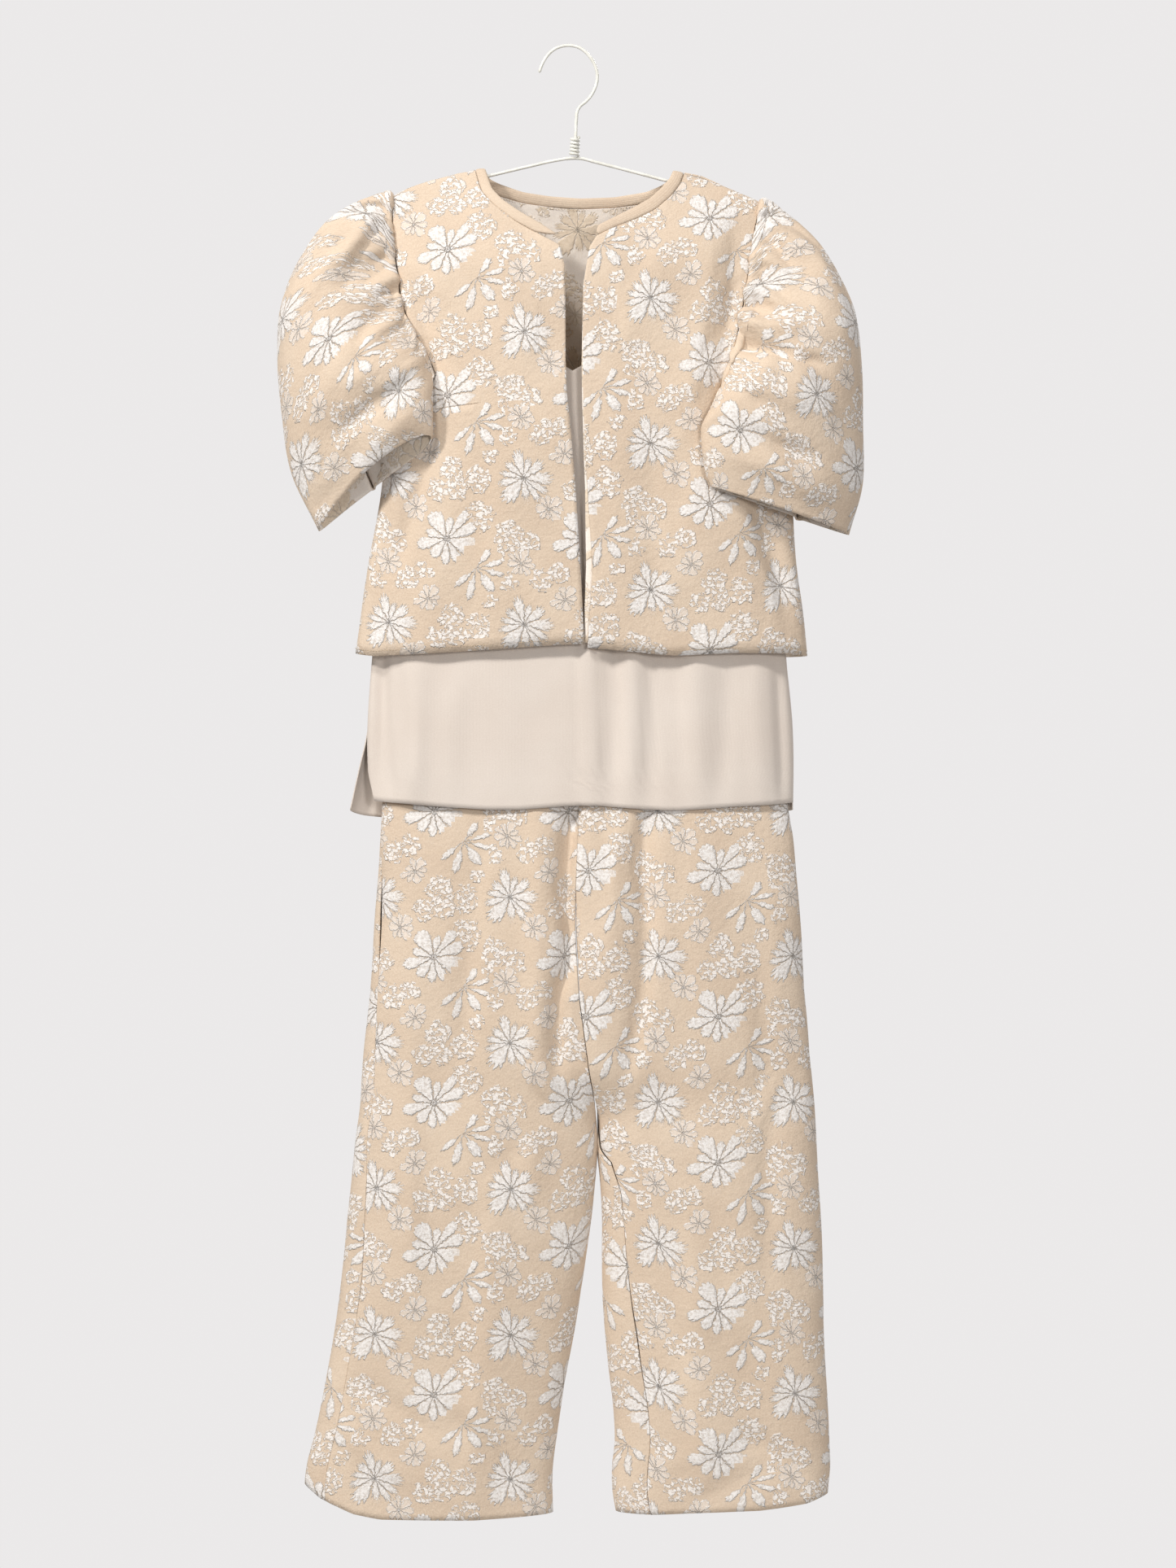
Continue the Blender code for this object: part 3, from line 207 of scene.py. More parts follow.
SLEEVE_LEFT_RINGS = table(
    "v outer_x outer_y outer_z front_x front_y front_z inner_x inner_y inner_z back_x back_y back_z",
    (0.08, 214, 0, -157, 205, -32, -262, 143, -43, -371, 206, 22, -275),
    (0.20, 247, -2, -192, 226, -45, -282, 138, -45, -380, 224, 26, -300),
    (0.33, 272, -5, -228, 232, -54, -308, 134, -46, -390, 238, 24, -328),
    (0.46, 292, -8, -272, 235, -58, -335, 134, -46, -402, 246, 18, -356),
    (0.60, 298, -10, -330, 233, -59, -372, 135, -46, -414, 250, 14, -388),
    (0.75, 298, -12, -395, 228, -57, -412, 137, -46, -428, 250, 8, -422),
    (0.88, 296, -14, -450, 222, -53, -444, 140, -45, -440, 250, 2, -452),
    (1.00, 281, -16, -494, 212, -49, -471, 146, -44, -451, 248, -3, -484),
)
SLEEVE_RINGS = (0, 0.02, 0.05, 0.09, 0.15, 0.23, 0.33, 0.45, 0.58, 0.72, 0.86, 1)
FRONT_SEAM_STEPS = 84
UNDER_SEAM_STEPS = 24
BACK_SEAM_STEPS = 72
# Gathers of the sleeve head, a row per fold, angle in degrees from the shoulder tip through the front
GATHERS = table(
    "angle width height reach",
    (6, 7, 4.2, 0.42), (22, 6, 3.4, 0.34), (37, 7, 4.4, 0.46), (54, 6, 3.2, 0.30), (70, 7, 4.2, 0.44),
    (88, 6.5, 3.4, 0.36), (106, 7, 3.8, 0.42), (124, 7, 2.8, 0.30), (142, 8, 3.0, 0.36),
    (240, 9, 2.8, 0.30), (262, 8, 3.4, 0.36), (284, 8, 3.2, 0.40), (304, 7, 3.8, 0.36),
    (322, 7, 3.4, 0.42), (340, 7, 4.2, 0.38), (353, 5, 3.0, 0.30),
)
SLEEVE_FRONT_FOLDS = table(
    FOLD,
    (-190, -180, -240, -232, 9, 4.0), (-182, -205, -232, -250, 9, -5.5),
    (-172, -268, -215, -306, 9, -5.5), (-160, -300, -222, -350, 10, 4.5),
    (-150, -345, -240, -400, 12, -4.5), (-150, -370, -215, -440, 12, 4.5),
    (204, -190, 240, -236, 10, -3.5), (180, -285, 232, -291, 7, 6.5), (176, -301, 262, -326, 7, -8.0),
    (166, -345, 240, -372, 12, 4.5), (160, -380, 250, -425, 12, -4.0), (170, -420, 262, -462, 13, 4.0),
    # finer creases
    (-196, -172, -226, -216, 5, 3.4), (-190, -182, -218, -228, 4, -3.6), (-182, -200, -214, -236, 5, 3.2),
    (-176, -220, -212, -250, 5, -3.2), (-172, -240, -206, -264, 5, 3.0),
    (-168, -256, -204, -284, 5, -3.4), (-160, -276, -198, -302, 5, 3.0),
    (-154, -294, -196, -330, 6, -3.4), (-148, -318, -190, -358, 7, 3.0),
    (-160, -340, -232, -404, 8, -3.0), (-214, -300, -262, -380, 14, 2.4),
    (-226, -290, -272, -372, 12, -2.4), (-190, -396, -246, -456, 12, 2.4),
    (-210, -400, -256, -476, 10, -2.4), (-250, -220, -276, -296, 12, 2.0), (200, -176, 236, -218, 5, 3.2),
    (198, -192, 230, -232, 4, -3.6), (194, -212, 228, -246, 5, 3.2), (190, -230, 224, -260, 5, -3.2),
    (186, -248, 220, -272, 5, 3.0), (180, -266, 214, -280, 4, -2.6), (172, -290, 220, -295, 6, 4.0),
    (168, -306, 222, -312, 5, -7.0), (168, -316, 206, -340, 6, 3.0), (158, -344, 200, -372, 6, -3.0),
    (152, -376, 206, -412, 8, 3.0), (176, -392, 250, -420, 8, -2.8), (222, -300, 282, -320, 7, -3.0),
    (226, -330, 272, -384, 12, 2.4), (246, -330, 286, -392, 9, -2.6), (196, -416, 250, -462, 11, 2.4),
    (254, -226, 284, -300, 12, 2.0),
)
SLEEVE_BACK_FOLDS = table(
    FOLD,
    (-186, -200, -236, -246, 9, 3.6), (-180, -232, -230, -276, 8, -3.6), (-172, -268, -226, -318, 9, 3.2),
    (-184, -330, -250, -410, 13, -3.0), (-200, -380, -262, -450, 14, 2.6), (204, -206, 244, -250, 9, 3.6),
    (198, -240, 246, -284, 8, -3.6), (198, -276, 250, -330, 9, 3.2), (206, -346, 272, -420, 13, -3.0),
    (220, -400, 282, -466, 14, 2.6),
)

# Under-top sizes
TOP_UPPER_SECTIONS = (
    (-230, -146, 166, 21, 17), (-340, -164, 184, 26, 21), (-400, -170, 197, 28, 23),
    (-450, -178, 208, 28, 23), (-619, -198, 221, 29, 24),
)
TOP_SECTIONS = table(SECTION, *TOP_UPPER_SECTIONS, (-700, -203, 228, 31, 26), (-785, -200, 228, 33, 28))
TOP_BACK_SECTIONS = table(
    SECTION, *TOP_UPPER_SECTIONS,
    (-700, -204, 228, 31, 26), (-730, -211, 228, 31, 26), (-785, -223, 228, 33, 28),
)
TOP_FRONT_TOP = table(
    "x z",
    (-117, -236), (-105, -238), (-80, -270), (-40, -305), (5, -331), (50, -305), (100, -270), (134, -238),
    (146, -236),
)
TOP_FRONT_RIGHT_EDGE = table(
    "x z",
    (-117, -236), (-130, -266), (-146, -305), (-166, -340), (-300, -690), (-204, -700), (-202, -737),
    (-196, -765),
)
TOP_FRONT_LEFT_EDGE = table(
    "x z",
    (146, -236), (156, -266), (168, -305), (186, -340), (300, -700), (300, -766),
)
TOP_FRONT_HEM = table(
    "x z",
    (-196, -765), (-162, -768), (-112, -772), (-80, -774), (-47, -774), (2, -770), (31, -770), (68, -773),
    (109, -775), (166, -771), (231, -766),
)
TOP_BACK_TOP = table("x z", (-167, -340), (-112, -345), (15, -352), (140, -345), (187, -340))
TOP_BACK_RIGHT_EDGE = table("x z", (-167, -340), (-300, -690), (-300, -774))
TOP_BACK_LEFT_EDGE = table("x z", (187, -340), (300, -690), (300, -774))
TOP_BACK_HEM = table("x z", (-226, -774), (-207, -780), (-188, -782), (0, -779), (120, -781), (231, -774))
TOP_FOLDS = table(
    FOLD,
    (-186, -560, -190, -770, 7, -5.0), (-150, -600, -158, -770, 12, 3.5), (24, -540, 26, -772, 7, 6.0),
    (40, -560, 42, -772, 8, -5.0), (88, -560, 84, -772, 11, -5.0), (130, -590, 136, -772, 14, 3.2),
    (-70, -600, -60, -772, 24, 1.5), (190, -600, 196, -768, 12, 2.5),
    # finer creases
    (-182, -620, -176, -770, 6, -4.0), (-166, -600, -160, -771, 8, 3.5),
    (-110, -640, -118, -772, 15, 2.4), (11, -540, 13, -772, 6, -4.5), (64, -560, 66, -772, 9, 4.0),
    (108, -600, 112, -772, 10, -3.0), (160, -620, 150, -770, 11, -2.8), (210, -620, 216, -766, 6, -3.2),
    (-20, -690, 0, -772, 15, 1.2),
)
TOP_BACK_FOLDS = table(
    FOLD,
    (-150, -500, -166, -778, 16, 3.0), (-60, -520, -64, -778, 18, -3.0), (40, -500, 46, -778, 16, 3.0),
    (140, -520, 150, -778, 18, -3.0),
    # finer creases
    (-200, -700, -206, -778, 8, 2.0), (90, -560, 96, -778, 10, -2.0), (-10, -560, -14, -778, 10, 2.0),
)
STRAPS = table(
    "x_front z_front x_wire x_back z_back",
    (-111, -236.9, -111, -112, -344.7), (140, -236.9, 140, 140, -344.7),
)
STRAP_WIDTH = 8

# Trouser sizes
HIP_SECTIONS = table(
    SECTION,
    (-735, -187, 221, 25, 21), (-766, -188, 222.5, 27, 22), (-800, -190, 228, 31, 25),
    (-841, -191, 231, 34, 28), (-889, -194, 234.5, 36, 30), (-949, -199, 239, 37, 31),
    (-1021, -207, 245, 37, 31), (-1082, -213, 250, 36, 31), (-1140, -217, 253, 36, 31),
)
LEFT_LEG_SECTIONS = table(
    SECTION,
    (-1020, 31.5, 245, 34, 30), (-1082, 31.5, 250, 34, 30), (-1116, 31.5, 252, 34, 31),
    (-1152, 34.5, 254, 35, 32), (-1184, 35.5, 256, 35, 32), (-1225, 35, 258, 35, 32),
    (-1280, 36.5, 259, 35, 33), (-1334, 42, 260, 34, 33), (-1383, 48, 263, 34, 33),
    (-1416, 48.5, 265, 33, 33), (-1440, 45, 266, 33, 32), (-1462, 44.5, 264, 33, 31),
    (-1492, 49, 263, 32, 31),
)
RIGHT_LEG_SECTIONS = table(
    SECTION,
    (-1020, -207, 28.5, 34, 30), (-1082, -213, 28.5, 34, 30), (-1116, -216, 28.5, 34, 31),
    (-1157, -219, 26, 35, 32), (-1184, -222, 24, 35, 32), (-1225, -226, 18.5, 35, 32),
    (-1280, -233, 10, 35, 33), (-1340, -243, -1, 34, 33), (-1402, -255, -11, 34, 33),
    (-1443, -265, -16, 33, 32), (-1492, -267, -16, 32, 31),
)
LEFT_SEAM_ANGLES = table(
    "z inner outer",
    (-735, -90, 90), (-1100, -90, 92), (-1116, -82, 92), (-1130, -64, 92), (-1160, -56, 92),
    (-1300, -46, 92), (-1400, -43, 91), (-1492, -42, 90),
)
RIGHT_SEAM_ANGLES = table(
    "z inner outer",
    (-735, 90, -90), (-800, 90, -84), (-894, 90, -78), (-961, 90, -74.5), (-1034, 90, -70),
    (-1081, 90, -65), (-1171, 92, -60), (-1247, 92, -56), (-1492, 92, -55.5),
)
CENTRE_SEAM = table(
    "x z",
    (13, -735), (11, -790), (8, -850), (8, -900), (12, -966), (20, -1024), (27, -1080), (30, -1120),
)
LEFT_HEM = table("x z", (44, -1485), (84, -1485), (139, -1482), (193, -1480), (242, -1474), (264, -1466))
RIGHT_HEM = table(
    "x z",
    (-267, -1457), (-249, -1470), (-216, -1484), (-189, -1489), (-94, -1490), (-16, -1486),
)
CROTCH_FROM, CROTCH_TO = -1030, -1112
WAIST_TOP, WAIST_SEAM = -737, -765.5
TROUSER_ROWS = (
    0, 0.05, 0.115, 0.18, 0.25, 0.31, 0.365, 0.4, 0.43, 0.455, 0.475, 0.49, 0.51, 0.54, 0.58, 0.64, 0.7,
    0.76, 0.82, 0.88, 0.94, 1,
)
TROUSER_FRONT_FOLDS = table(
    FOLD,
    (7, -770, -4, -870, 9, -13.0), (-4, -850, -3, -950, 9, -12.0), (-3, -930, -8, -1040, 8, -9.0),
    (-32, -770, -38, -1180, 13, 6.0), (-88, -780, -110, -1060, 15, -6.5), (78, -772, 80, -890, 9, -10.5),
    (80, -880, 62, -1040, 9, -9.5), (52, -780, 44, -930, 10, 5.5), (140, -780, 150, -1120, 30, 2.5),
    (190, -900, 200, -1250, 14, -5.5), (-150, -900, -160, -1250, 15, 5.0),
    (-70, -1150, -100, -1480, 20, 4.5), (-120, -1380, -50, -1452, 12, -5.5),
    (130, -1150, 140, -1480, 22, 4.5), (180, -1400, 246, -1456, 11, -5.5),
    # finer creases
    (-176, -800, -182, -1000, 10, 2.0), (-112, -790, -96, -960, 11, -1.8), (22, -780, 30, -1000, 8, 2.2),
    (112, -790, 120, -950, 12, -1.8), (206, -800, 214, -1010, 10, 2.0),
    (-20, -1080, -90, -1150, 12, -1.6), (70, -1085, 130, -1160, 12, -1.6),
    (-190, -1240, -110, -1290, 13, 1.4), (70, -1250, 150, -1300, 14, 1.4),
    (-240, -1380, -160, -1450, 9, 4.4), (-220, -1350, -130, -1412, 9, -4.4),
    (-60, -1420, -20, -1470, 11, 1.5), (90, -1440, 170, -1400, 12, 1.6),
    (120, -1476, 210, -1436, 10, -2.8), (190, -1320, 246, -1386, 10, 2.8),
    (-150, -1100, -158, -1340, 14, 1.6), (160, -1090, 166, -1330, 15, 1.6),
)
TROUSER_BACK_FOLDS = table(
    FOLD,
    (-90, -780, -100, -1100, 24, 3.5), (100, -780, 110, -1100, 24, 3.5),
    (-150, -1000, -160, -1470, 22, -3.0), (-60, -1150, -80, -1470, 22, 3.0),
    (190, -1000, 200, -1460, 22, -3.0), (120, -1150, 130, -1470, 24, 3.0),
    # finer creases
    (-40, -790, -50, -960, 12, -2.0), (50, -790, 56, -940, 12, -2.0), (-20, -1085, -90, -1150, 12, 1.8),
    (70, -1085, 130, -1150, 12, 1.8), (-230, -1370, -150, -1440, 13, -1.8),
    (120, -1440, 220, -1390, 14, -1.8),
)
TAPES = table("x_wire x_waist", (-150, -181.0), (158, 215.0))
TAPE_STRAIGHT_TO = -500
TAPE_WIDTH = 6

# Hanger sizes
HOOK_PATH = (
    (-29, -26), (-27, -19.5), (-23.5, -12.5), (-18.5, -6), (-12, -1.2), (-4, 1.4), (4, 1.6), (12, -0.6),
    (19, -5.8), (25, -13.5), (29, -22.5), (30, -31), (28, -40.5), (24, -48.5), (18, -55.5), (12.5, -60),
    (9.8, -64.5), (8.8, -72), (8, -90), (7.2, -109),
)
ARM_PATH = (
    (-172, -154.1), (-140, -145.3), (-110, -138), (-77, -130), (-40, -121.2), (-12, -114.9), (2, -112.9),
    (12, -112.9), (30, -117.2), (66, -126.5), (102, -136), (135, -144.1), (160, -150.2), (178, -155.8),
)
TWIST_TOP, TWIST_END, TWIST_WRAPS = -90.5, -110.3, 5
TWIST_CENTRE = 7.6

# Rows of the panels' grids, from 0 at the top edge to 1 at the hem
LEFT_ROWS = (
    *FRONT_ROWS, 0.141, 0.165, 0.21, 0.27, 0.33, 0.39, 0.4444, 0.49, 0.5338, 0.549, 0.5621, *LOWER_ROWS
)
RIGHT_ROWS = (
    *FRONT_ROWS, 0.14, 0.168, 0.21, 0.26, 0.315, 0.367, 0.3974, 0.434, 0.4665, 0.477, 0.486, 0.54, *LOWER_ROWS
)
BACK_ALL_ROWS = BACK_ROWS + (0.42, 0.455, 0.486, 0.525, 0.5621) + LOWER_ROWS
TOP_FRONT_ROWS = (0, 0.06, 0.13, 0.1965, 0.27, 0.36, 0.46, 0.56, 0.66, 0.75, 0.83, 0.91, 1)
TOP_BACK_ROWS = (0, 0.09, 0.2, 0.32, 0.44, 0.56, 0.67, 0.77, 0.85, 0.93, 1)

# Small gathers between the large ones of the sleeve head
FINE_GATHERS = table(
    "angle width height reach",
    (11, 2.6, 3.2, 0.24), (19, 2.4, -2.6, 0.18), (29, 2.8, 3.4, 0.26), (41, 2.4, -2.6, 0.20),
    (49, 2.6, 3.2, 0.24), (61, 2.4, 3.0, 0.20), (66, 2.2, -2.8, 0.26), (77, 2.8, 3.4, 0.26),
    (84, 2.2, -2.6, 0.18), (95, 2.6, 3.0, 0.24), (101, 2.2, -2.6, 0.20), (113, 3.0, 3.2, 0.24),
    (120, 2.4, -2.4, 0.18), (131, 2.8, 2.6, 0.22), (250, 4.0, 2.2, 0.20), (273, 4.0, 2.2, 0.22),
    (294, 3.4, 2.4, 0.20), (313, 3.2, 2.8, 0.24), (331, 3.0, 2.6, 0.18), (346, 2.8, 3.0, 0.22),
)


def curve_through(known, values, wanted):
    """Values at the wanted steps, on a smooth curve through those at the known steps of the first axis."""
    slopes = np.gradient(values, known, axis=0)
    k = np.clip(np.searchsorted(known, wanted) - 1, 0, len(known) - 2)
    spread = (...,) + (None,) * (values.ndim - 1)
    span = (known[k + 1] - known[k])[spread]
    f = (wanted - known[k])[spread] / span
    low = values[k] * (1 + 2 * f) * (1 - f) ** 2 + slopes[k] * span * f * (1 - f) ** 2
    return low + values[k + 1] * f * f * (3 - 2 * f) - slopes[k + 1] * span * f * f * (1 - f)


def read(sections, column, z):
    """A column of a table at height z, on a smooth curve through its rows."""
    order = np.argsort(sections["z"])
    heights = sections["z"][order]
    return curve_through(heights, sections[column][order], np.clip(z, heights[0], heights[-1]))


def angle_of(sections, x, z):
    """Angle round a section, 0 at its front centre and 90 degrees at its +X side, for a point at x."""
    low, high = read(sections, "x_low", z), read(sections, "x_high", z)
    u = np.clip((x - (low + high) / 2) / ((high - low) / 2), -1, 1)
    return np.arcsin(u)


def across(sections, angle, z):
    """x at an angle round a section, and the share of its depth there, + in front."""
    low, high = read(sections, "x_low", z), read(sections, "x_high", z)
    u = np.sin(angle)
    depth = np.sign(np.cos(angle)) * np.maximum(1 - np.abs(u) ** ROUNDNESS, 0) ** (1 / ROUNDNESS)
    return (low + high) / 2 + (high - low) / 2 * u, depth


def smooth(f):
    """A soft step from 0 to 1."""
    f = np.clip(f, 0, 1)
    return f * f * (3 - 2 * f)


def even(count):
    return np.linspace(0, 1, count + 1)


def unit(vectors):
    return vectors / np.linalg.norm(vectors, axis=-1, keepdims=True)


def lengths_along(points):
    """The length from a path's first point to each of its points."""
    return np.concatenate([[0], np.cumsum(np.linalg.norm(np.diff(points, axis=0), axis=-1))])


def points_at(points, reach, wanted):
    """Points at the wanted lengths of a path whose own points lie at reach, straight in between."""
    return np.stack([np.interp(wanted, reach, column) for column in points.T], axis=-1)


def folds(rows, x, z):
    """Height at x, z of a fold table's soft ridges (+) and troughs (-), each a little bowed and uneven."""
    total = np.zeros_like(x)
    for k, width in enumerate(rows["width"]):
        start = np.array([rows["x_top"][k], rows["z_top"][k]])
        run = np.array([rows["x_end"][k], rows["z_end"][k]]) - start
        length = np.sqrt(run @ run)
        share = ((x - start[0]) * run[0] + (z - start[1]) * run[1]) / length**2
        bow = min(MOST_BOW, BOW_SHARE * length) * np.sin(2.3 * k) * np.sin(np.pi * np.clip(share, 0, 1))
        aside = ((x - start[0]) * run[1] - (z - start[1]) * run[0]) / length + bow
        sided = width * np.where(aside * (-1) ** k > 0, SOFT_SIDE, STEEP_SIDE)
        ends = smooth((share + FOLD_PAST_END) / FOLD_FADE) * smooth((1 + FOLD_PAST_END - share) / FOLD_FADE)
        total += rows["height"][k] * np.exp(-((aside / sided) ** 2)) * ends
    return total


def jacket_point(side, angle, z, fold_rows=None):
    """A point of the jacket's cloth, side -1 in front and 1 at the back."""
    x, depth = across(JACKET_SECTIONS, angle, z)
    depth = np.abs(depth)
    drop = np.maximum(np.interp(x, SHOULDER_LINE["x"], SHOULDER_LINE["z"]) - z, 0)
    round_over = 1 - np.minimum(drop / SHOULDER_ROUND, 1)
    arch = SHOULDER_ROUND * np.sqrt(1 - round_over**2) * np.minimum(1, 4 * depth)
    full = read(JACKET_SECTIONS, "front" if side < 0 else "back", z)
    fall = np.sin(np.pi / 2 * np.minimum(1, drop / SHOULDER_FALL))
    out = arch + full * fall * depth
    if fold_rows is not None:
        out = out + folds(fold_rows, x, z) * np.minimum(1, 3 * depth) * smooth(drop / 40)
    return np.stack([x, side * out, z], axis=-1)


def share_of(curve, share):
    """x and z of a curve at a share of its height."""
    heights = curve["z"]
    z = heights[0] + share * (heights[-1] - heights[0])
    return np.interp(-z, -heights, curve["x"]), z


def corner_shares(curve):
    """The share of a curve's length at each of its points."""
    reach = lengths_along(np.stack([curve["x"], curve["z"]], axis=-1))
    return reach / reach[-1]


def length_of(curve, share):
    """x and z of a curve at a share of its length."""
    reach = corner_shares(curve)
    return np.interp(share, reach, curve["x"]), np.interp(share, reach, curve["z"])


def turn_of(sections, curve, share):
    """Angle and z of a curve at a share of its turn round the body."""
    angles = angle_of(sections, curve["x"], curve["z"])
    reach = (angles - angles[0]) / (angles[-1] - angles[0])
    return np.stack([np.interp(share, reach, angles), np.interp(share, reach, curve["z"])], axis=-1)


def turned(curve):
    """A curve with its points in the other order."""
    return {name: values[::-1] for name, values in curve.items()}


def patch(sections, first, last, top, end, point, even_top=False):
    """A surface of s, across from edge first to edge last, and t, down from edge top to edge end."""

    def plane(x, z):
        return np.stack([angle_of(sections, x, z), z], axis=-1)

    corners = [plane(*share_of(edge, np.array(float(t)))) for edge in (first, last) for t in (0, 1)]

    def surface(s, t):
        a, b = plane(*share_of(first, t)), plane(*share_of(last, t))
        c = turn_of(sections, top, s) if even_top else plane(*length_of(top, s))
        d = turn_of(sections, end, s)
        s, t = s[..., None], t[..., None]
        mixed = (1 - s) * a + s * b + (1 - t) * c + t * d
        mixed = mixed - (1 - s) * (1 - t) * corners[0] - (1 - s) * t * corners[1]
        mixed = mixed - s * (1 - t) * corners[2] - s * t * corners[3]
        return point(mixed[..., 0], mixed[..., 1])

    return surface


def top_point(side, angle, z):
    """A point of the under-top's cloth, side -1 in front and 1 at the back."""
    sections, rows = (TOP_SECTIONS, TOP_FOLDS) if side < 0 else (TOP_BACK_SECTIONS, TOP_BACK_FOLDS)
    x, depth = across(sections, angle, z)
    depth = np.abs(depth)
    out = read(sections, "front" if side < 0 else "back", z) * depth
    out = out + folds(rows, x, z) * np.minimum(1, 3 * depth)
    return np.stack([x, side * out, z], axis=-1)


def ring_point(sections, angle, z):
    """A point of the trousers' cloth at an angle round a section."""
    x, depth = across(sections, angle, z)
    full = np.where(depth > 0, read(sections, "front", z), read(sections, "back", z))
    shift = np.where(depth > 0, folds(TROUSER_FRONT_FOLDS, x, z), folds(TROUSER_BACK_FOLDS, x, z))
    return np.stack([x, -(full + shift * np.minimum(1, np.abs(depth))) * depth, z], axis=-1)


def trouser_surface(leg, part):
    """Surface of one leg's front or back: s from the centre and inside seam to the outside seam, t down."""
    sections = LEFT_LEG_SECTIONS if leg > 0 else RIGHT_LEG_SECTIONS
    angles = LEFT_SEAM_ANGLES if leg > 0 else RIGHT_SEAM_ANGLES
    hem = LEFT_HEM if leg > 0 else RIGHT_HEM

    def surface(s, t):
        low = np.full_like(s, HEM_LEVEL)
        inner = np.radians(read(angles, "inner", low))
        outer = np.radians(read(angles, "outer", low))
        if part == "back":
            inner = inner + leg * 2 * np.pi
        x_hem = across(sections, inner + s * (outer - inner), low)[0]
        z = WAIST_SEAM + t * (np.interp(x_hem, hem["x"], hem["z"]) - WAIST_SEAM)
        inner = np.radians(np.interp(-z, -angles["z"], angles["inner"]))
        outer = np.radians(np.interp(-z, -angles["z"], angles["outer"]))
        centre = angle_of(HIP_SECTIONS, np.interp(-z, -CENTRE_SEAM["z"], CENTRE_SEAM["x"]), z)
        if part == "back":
            inner = inner + leg * 2 * np.pi
            centre = leg * np.pi - centre
        hips = ring_point(HIP_SECTIONS, centre + s * (outer - centre), z)
        below = ring_point(sections, inner + s * (outer - inner), z)
        weight = smooth((CROTCH_FROM - z) / (CROTCH_FROM - CROTCH_TO))[..., None]
        return (1 - weight) * hips + weight * below

    return surface


def cloth_grid(surface, columns, rows, inset):
    """Middle points and normals of a cloth. inset is the pull at its first and last column and row."""
    s, t = np.meshgrid(np.array(columns, float), np.array(rows, float), indexing="ij")
    middle = surface(s, t)
    along = surface(np.minimum(s + FINE, 1), t) - surface(np.maximum(s - FINE, 0), t)
    down = surface(s, np.minimum(t + FINE, 1)) - surface(s, np.maximum(t - FINE, 0))
    normals = unit(np.cross(along, down))
    along, down = unit(along), unit(down)
    middle[0] += along[0] * inset[0]
    middle[-1] -= along[-1] * inset[1]
    middle[:, 0] += down[:, 0] * inset[2]
    middle[:, -1] -= down[:, -1] * inset[3]
    return middle, normals


def wire_rings(path, radius, sides):
    """Round rings along a path given as x, z in the plane y = 0."""
    path = np.array(path, float)
    heading = unit(np.gradient(path, axis=0))
    turn = np.radians(np.arange(sides) * 360 / sides)
    out = np.stack([-heading[:, 1], heading[:, 0]], axis=-1)
    x = path[:, None, 0] + radius * np.cos(turn) * out[:, None, 0]
    z = path[:, None, 1] + radius * np.cos(turn) * out[:, None, 1]
    y = np.broadcast_to(radius * np.sin(turn), x.shape)
    return np.stack([x, y, z], axis=-1)


def over_wire(x_wire, radius, count):
    """Points of a half turn over the hanger's arm, from its front to its back."""
    arms = np.array(ARM_PATH)
    z_wire = np.interp(x_wire, arms[:, 0], arms[:, 1])
    turn = np.radians(np.linspace(10, 170, count))
    return [(x_wire, -radius * np.cos(a), z_wire + radius * np.sin(a)) for a in turn]


def edge_points(edge, count):
    """Points at even steps along a polyline, both ends included."""
    reach = lengths_along(edge)
    return points_at(edge, reach, even(count) * reach[-1])


def armhole(front, back, notch, under_front, under_back):
    """The loop of the sleeve seam: down the front to the notch, under the arm, and up the back."""
    parts = [
        edge_points(front[: notch + 1], FRONT_SEAM_STEPS),
        edge_points(front[notch : under_front + 1], UNDER_SEAM_STEPS)[1:],
        edge_points(back[: under_back + 1][::-1], BACK_SEAM_STEPS)[1:-1],
    ]
    half = UNDER_SEAM_STEPS + BACK_SEAM_STEPS
    angles = np.concatenate([even(FRONT_SEAM_STEPS), 1 + np.arange(1, half) / half]) * np.pi
    return np.concatenate(parts), angles


def sleeve_ring(rings, v, angles):
    """A smooth closed ring through the outer, front, inner and back points of the table at v."""
    four = []
    for place in ("outer", "front", "inner", "back"):
        known = np.stack([rings[f"{place}_{axis}"] for axis in "xyz"], axis=-1)
        four.append(curve_through(rings["v"], known, np.clip(v, rings["v"][0], rings["v"][-1])))
    outer, front, inner, back = four
    centre = (outer + front + inner + back) / 4
    long_way, deep_way = (outer - inner) / 2, (front - back) / 2
    skew = (outer + inner - front - back) / 4
    turn = angles[:, None]
    return centre + long_way * np.cos(turn) + deep_way * np.sin(turn) + skew * np.cos(2 * turn)


def clear_of_jacket(points, angles, room):
    """The ring moved in front of or behind the jacket where it would run into it, with room left."""
    x, z = points[:, 0], points[:, 2]
    low, high = read(JACKET_SECTIONS, "x_low", z) - room, read(JACKET_SECTIONS, "x_high", z) + room
    u = np.clip((2 * x - low - high) / (high - low), -1, 1)
    depth = (1 - np.abs(u) ** ROUNDNESS) ** (1 / ROUNDNESS)
    drop = np.maximum(np.interp(x, SHOULDER_LINE["x"], SHOULDER_LINE["z"]) - z, 0)
    fall = np.sin(np.pi / 2 * np.minimum(1, drop / SHOULDER_FALL))
    ridges = np.maximum(folds(JACKET_FRONT_FOLDS, x, z), 0)
    front = -(read(JACKET_SECTIONS, "front", z) + room + ridges) * fall * depth
    back = (read(JACKET_SECTIONS, "back", z) + room) * fall * depth
    wanted = np.where(angles < 1.42 * np.pi, np.minimum(points[:, 1], front), np.maximum(points[:, 1], back))
    points[:, 1] = np.where(np.abs(u) < 1, wanted, points[:, 1])
    return points


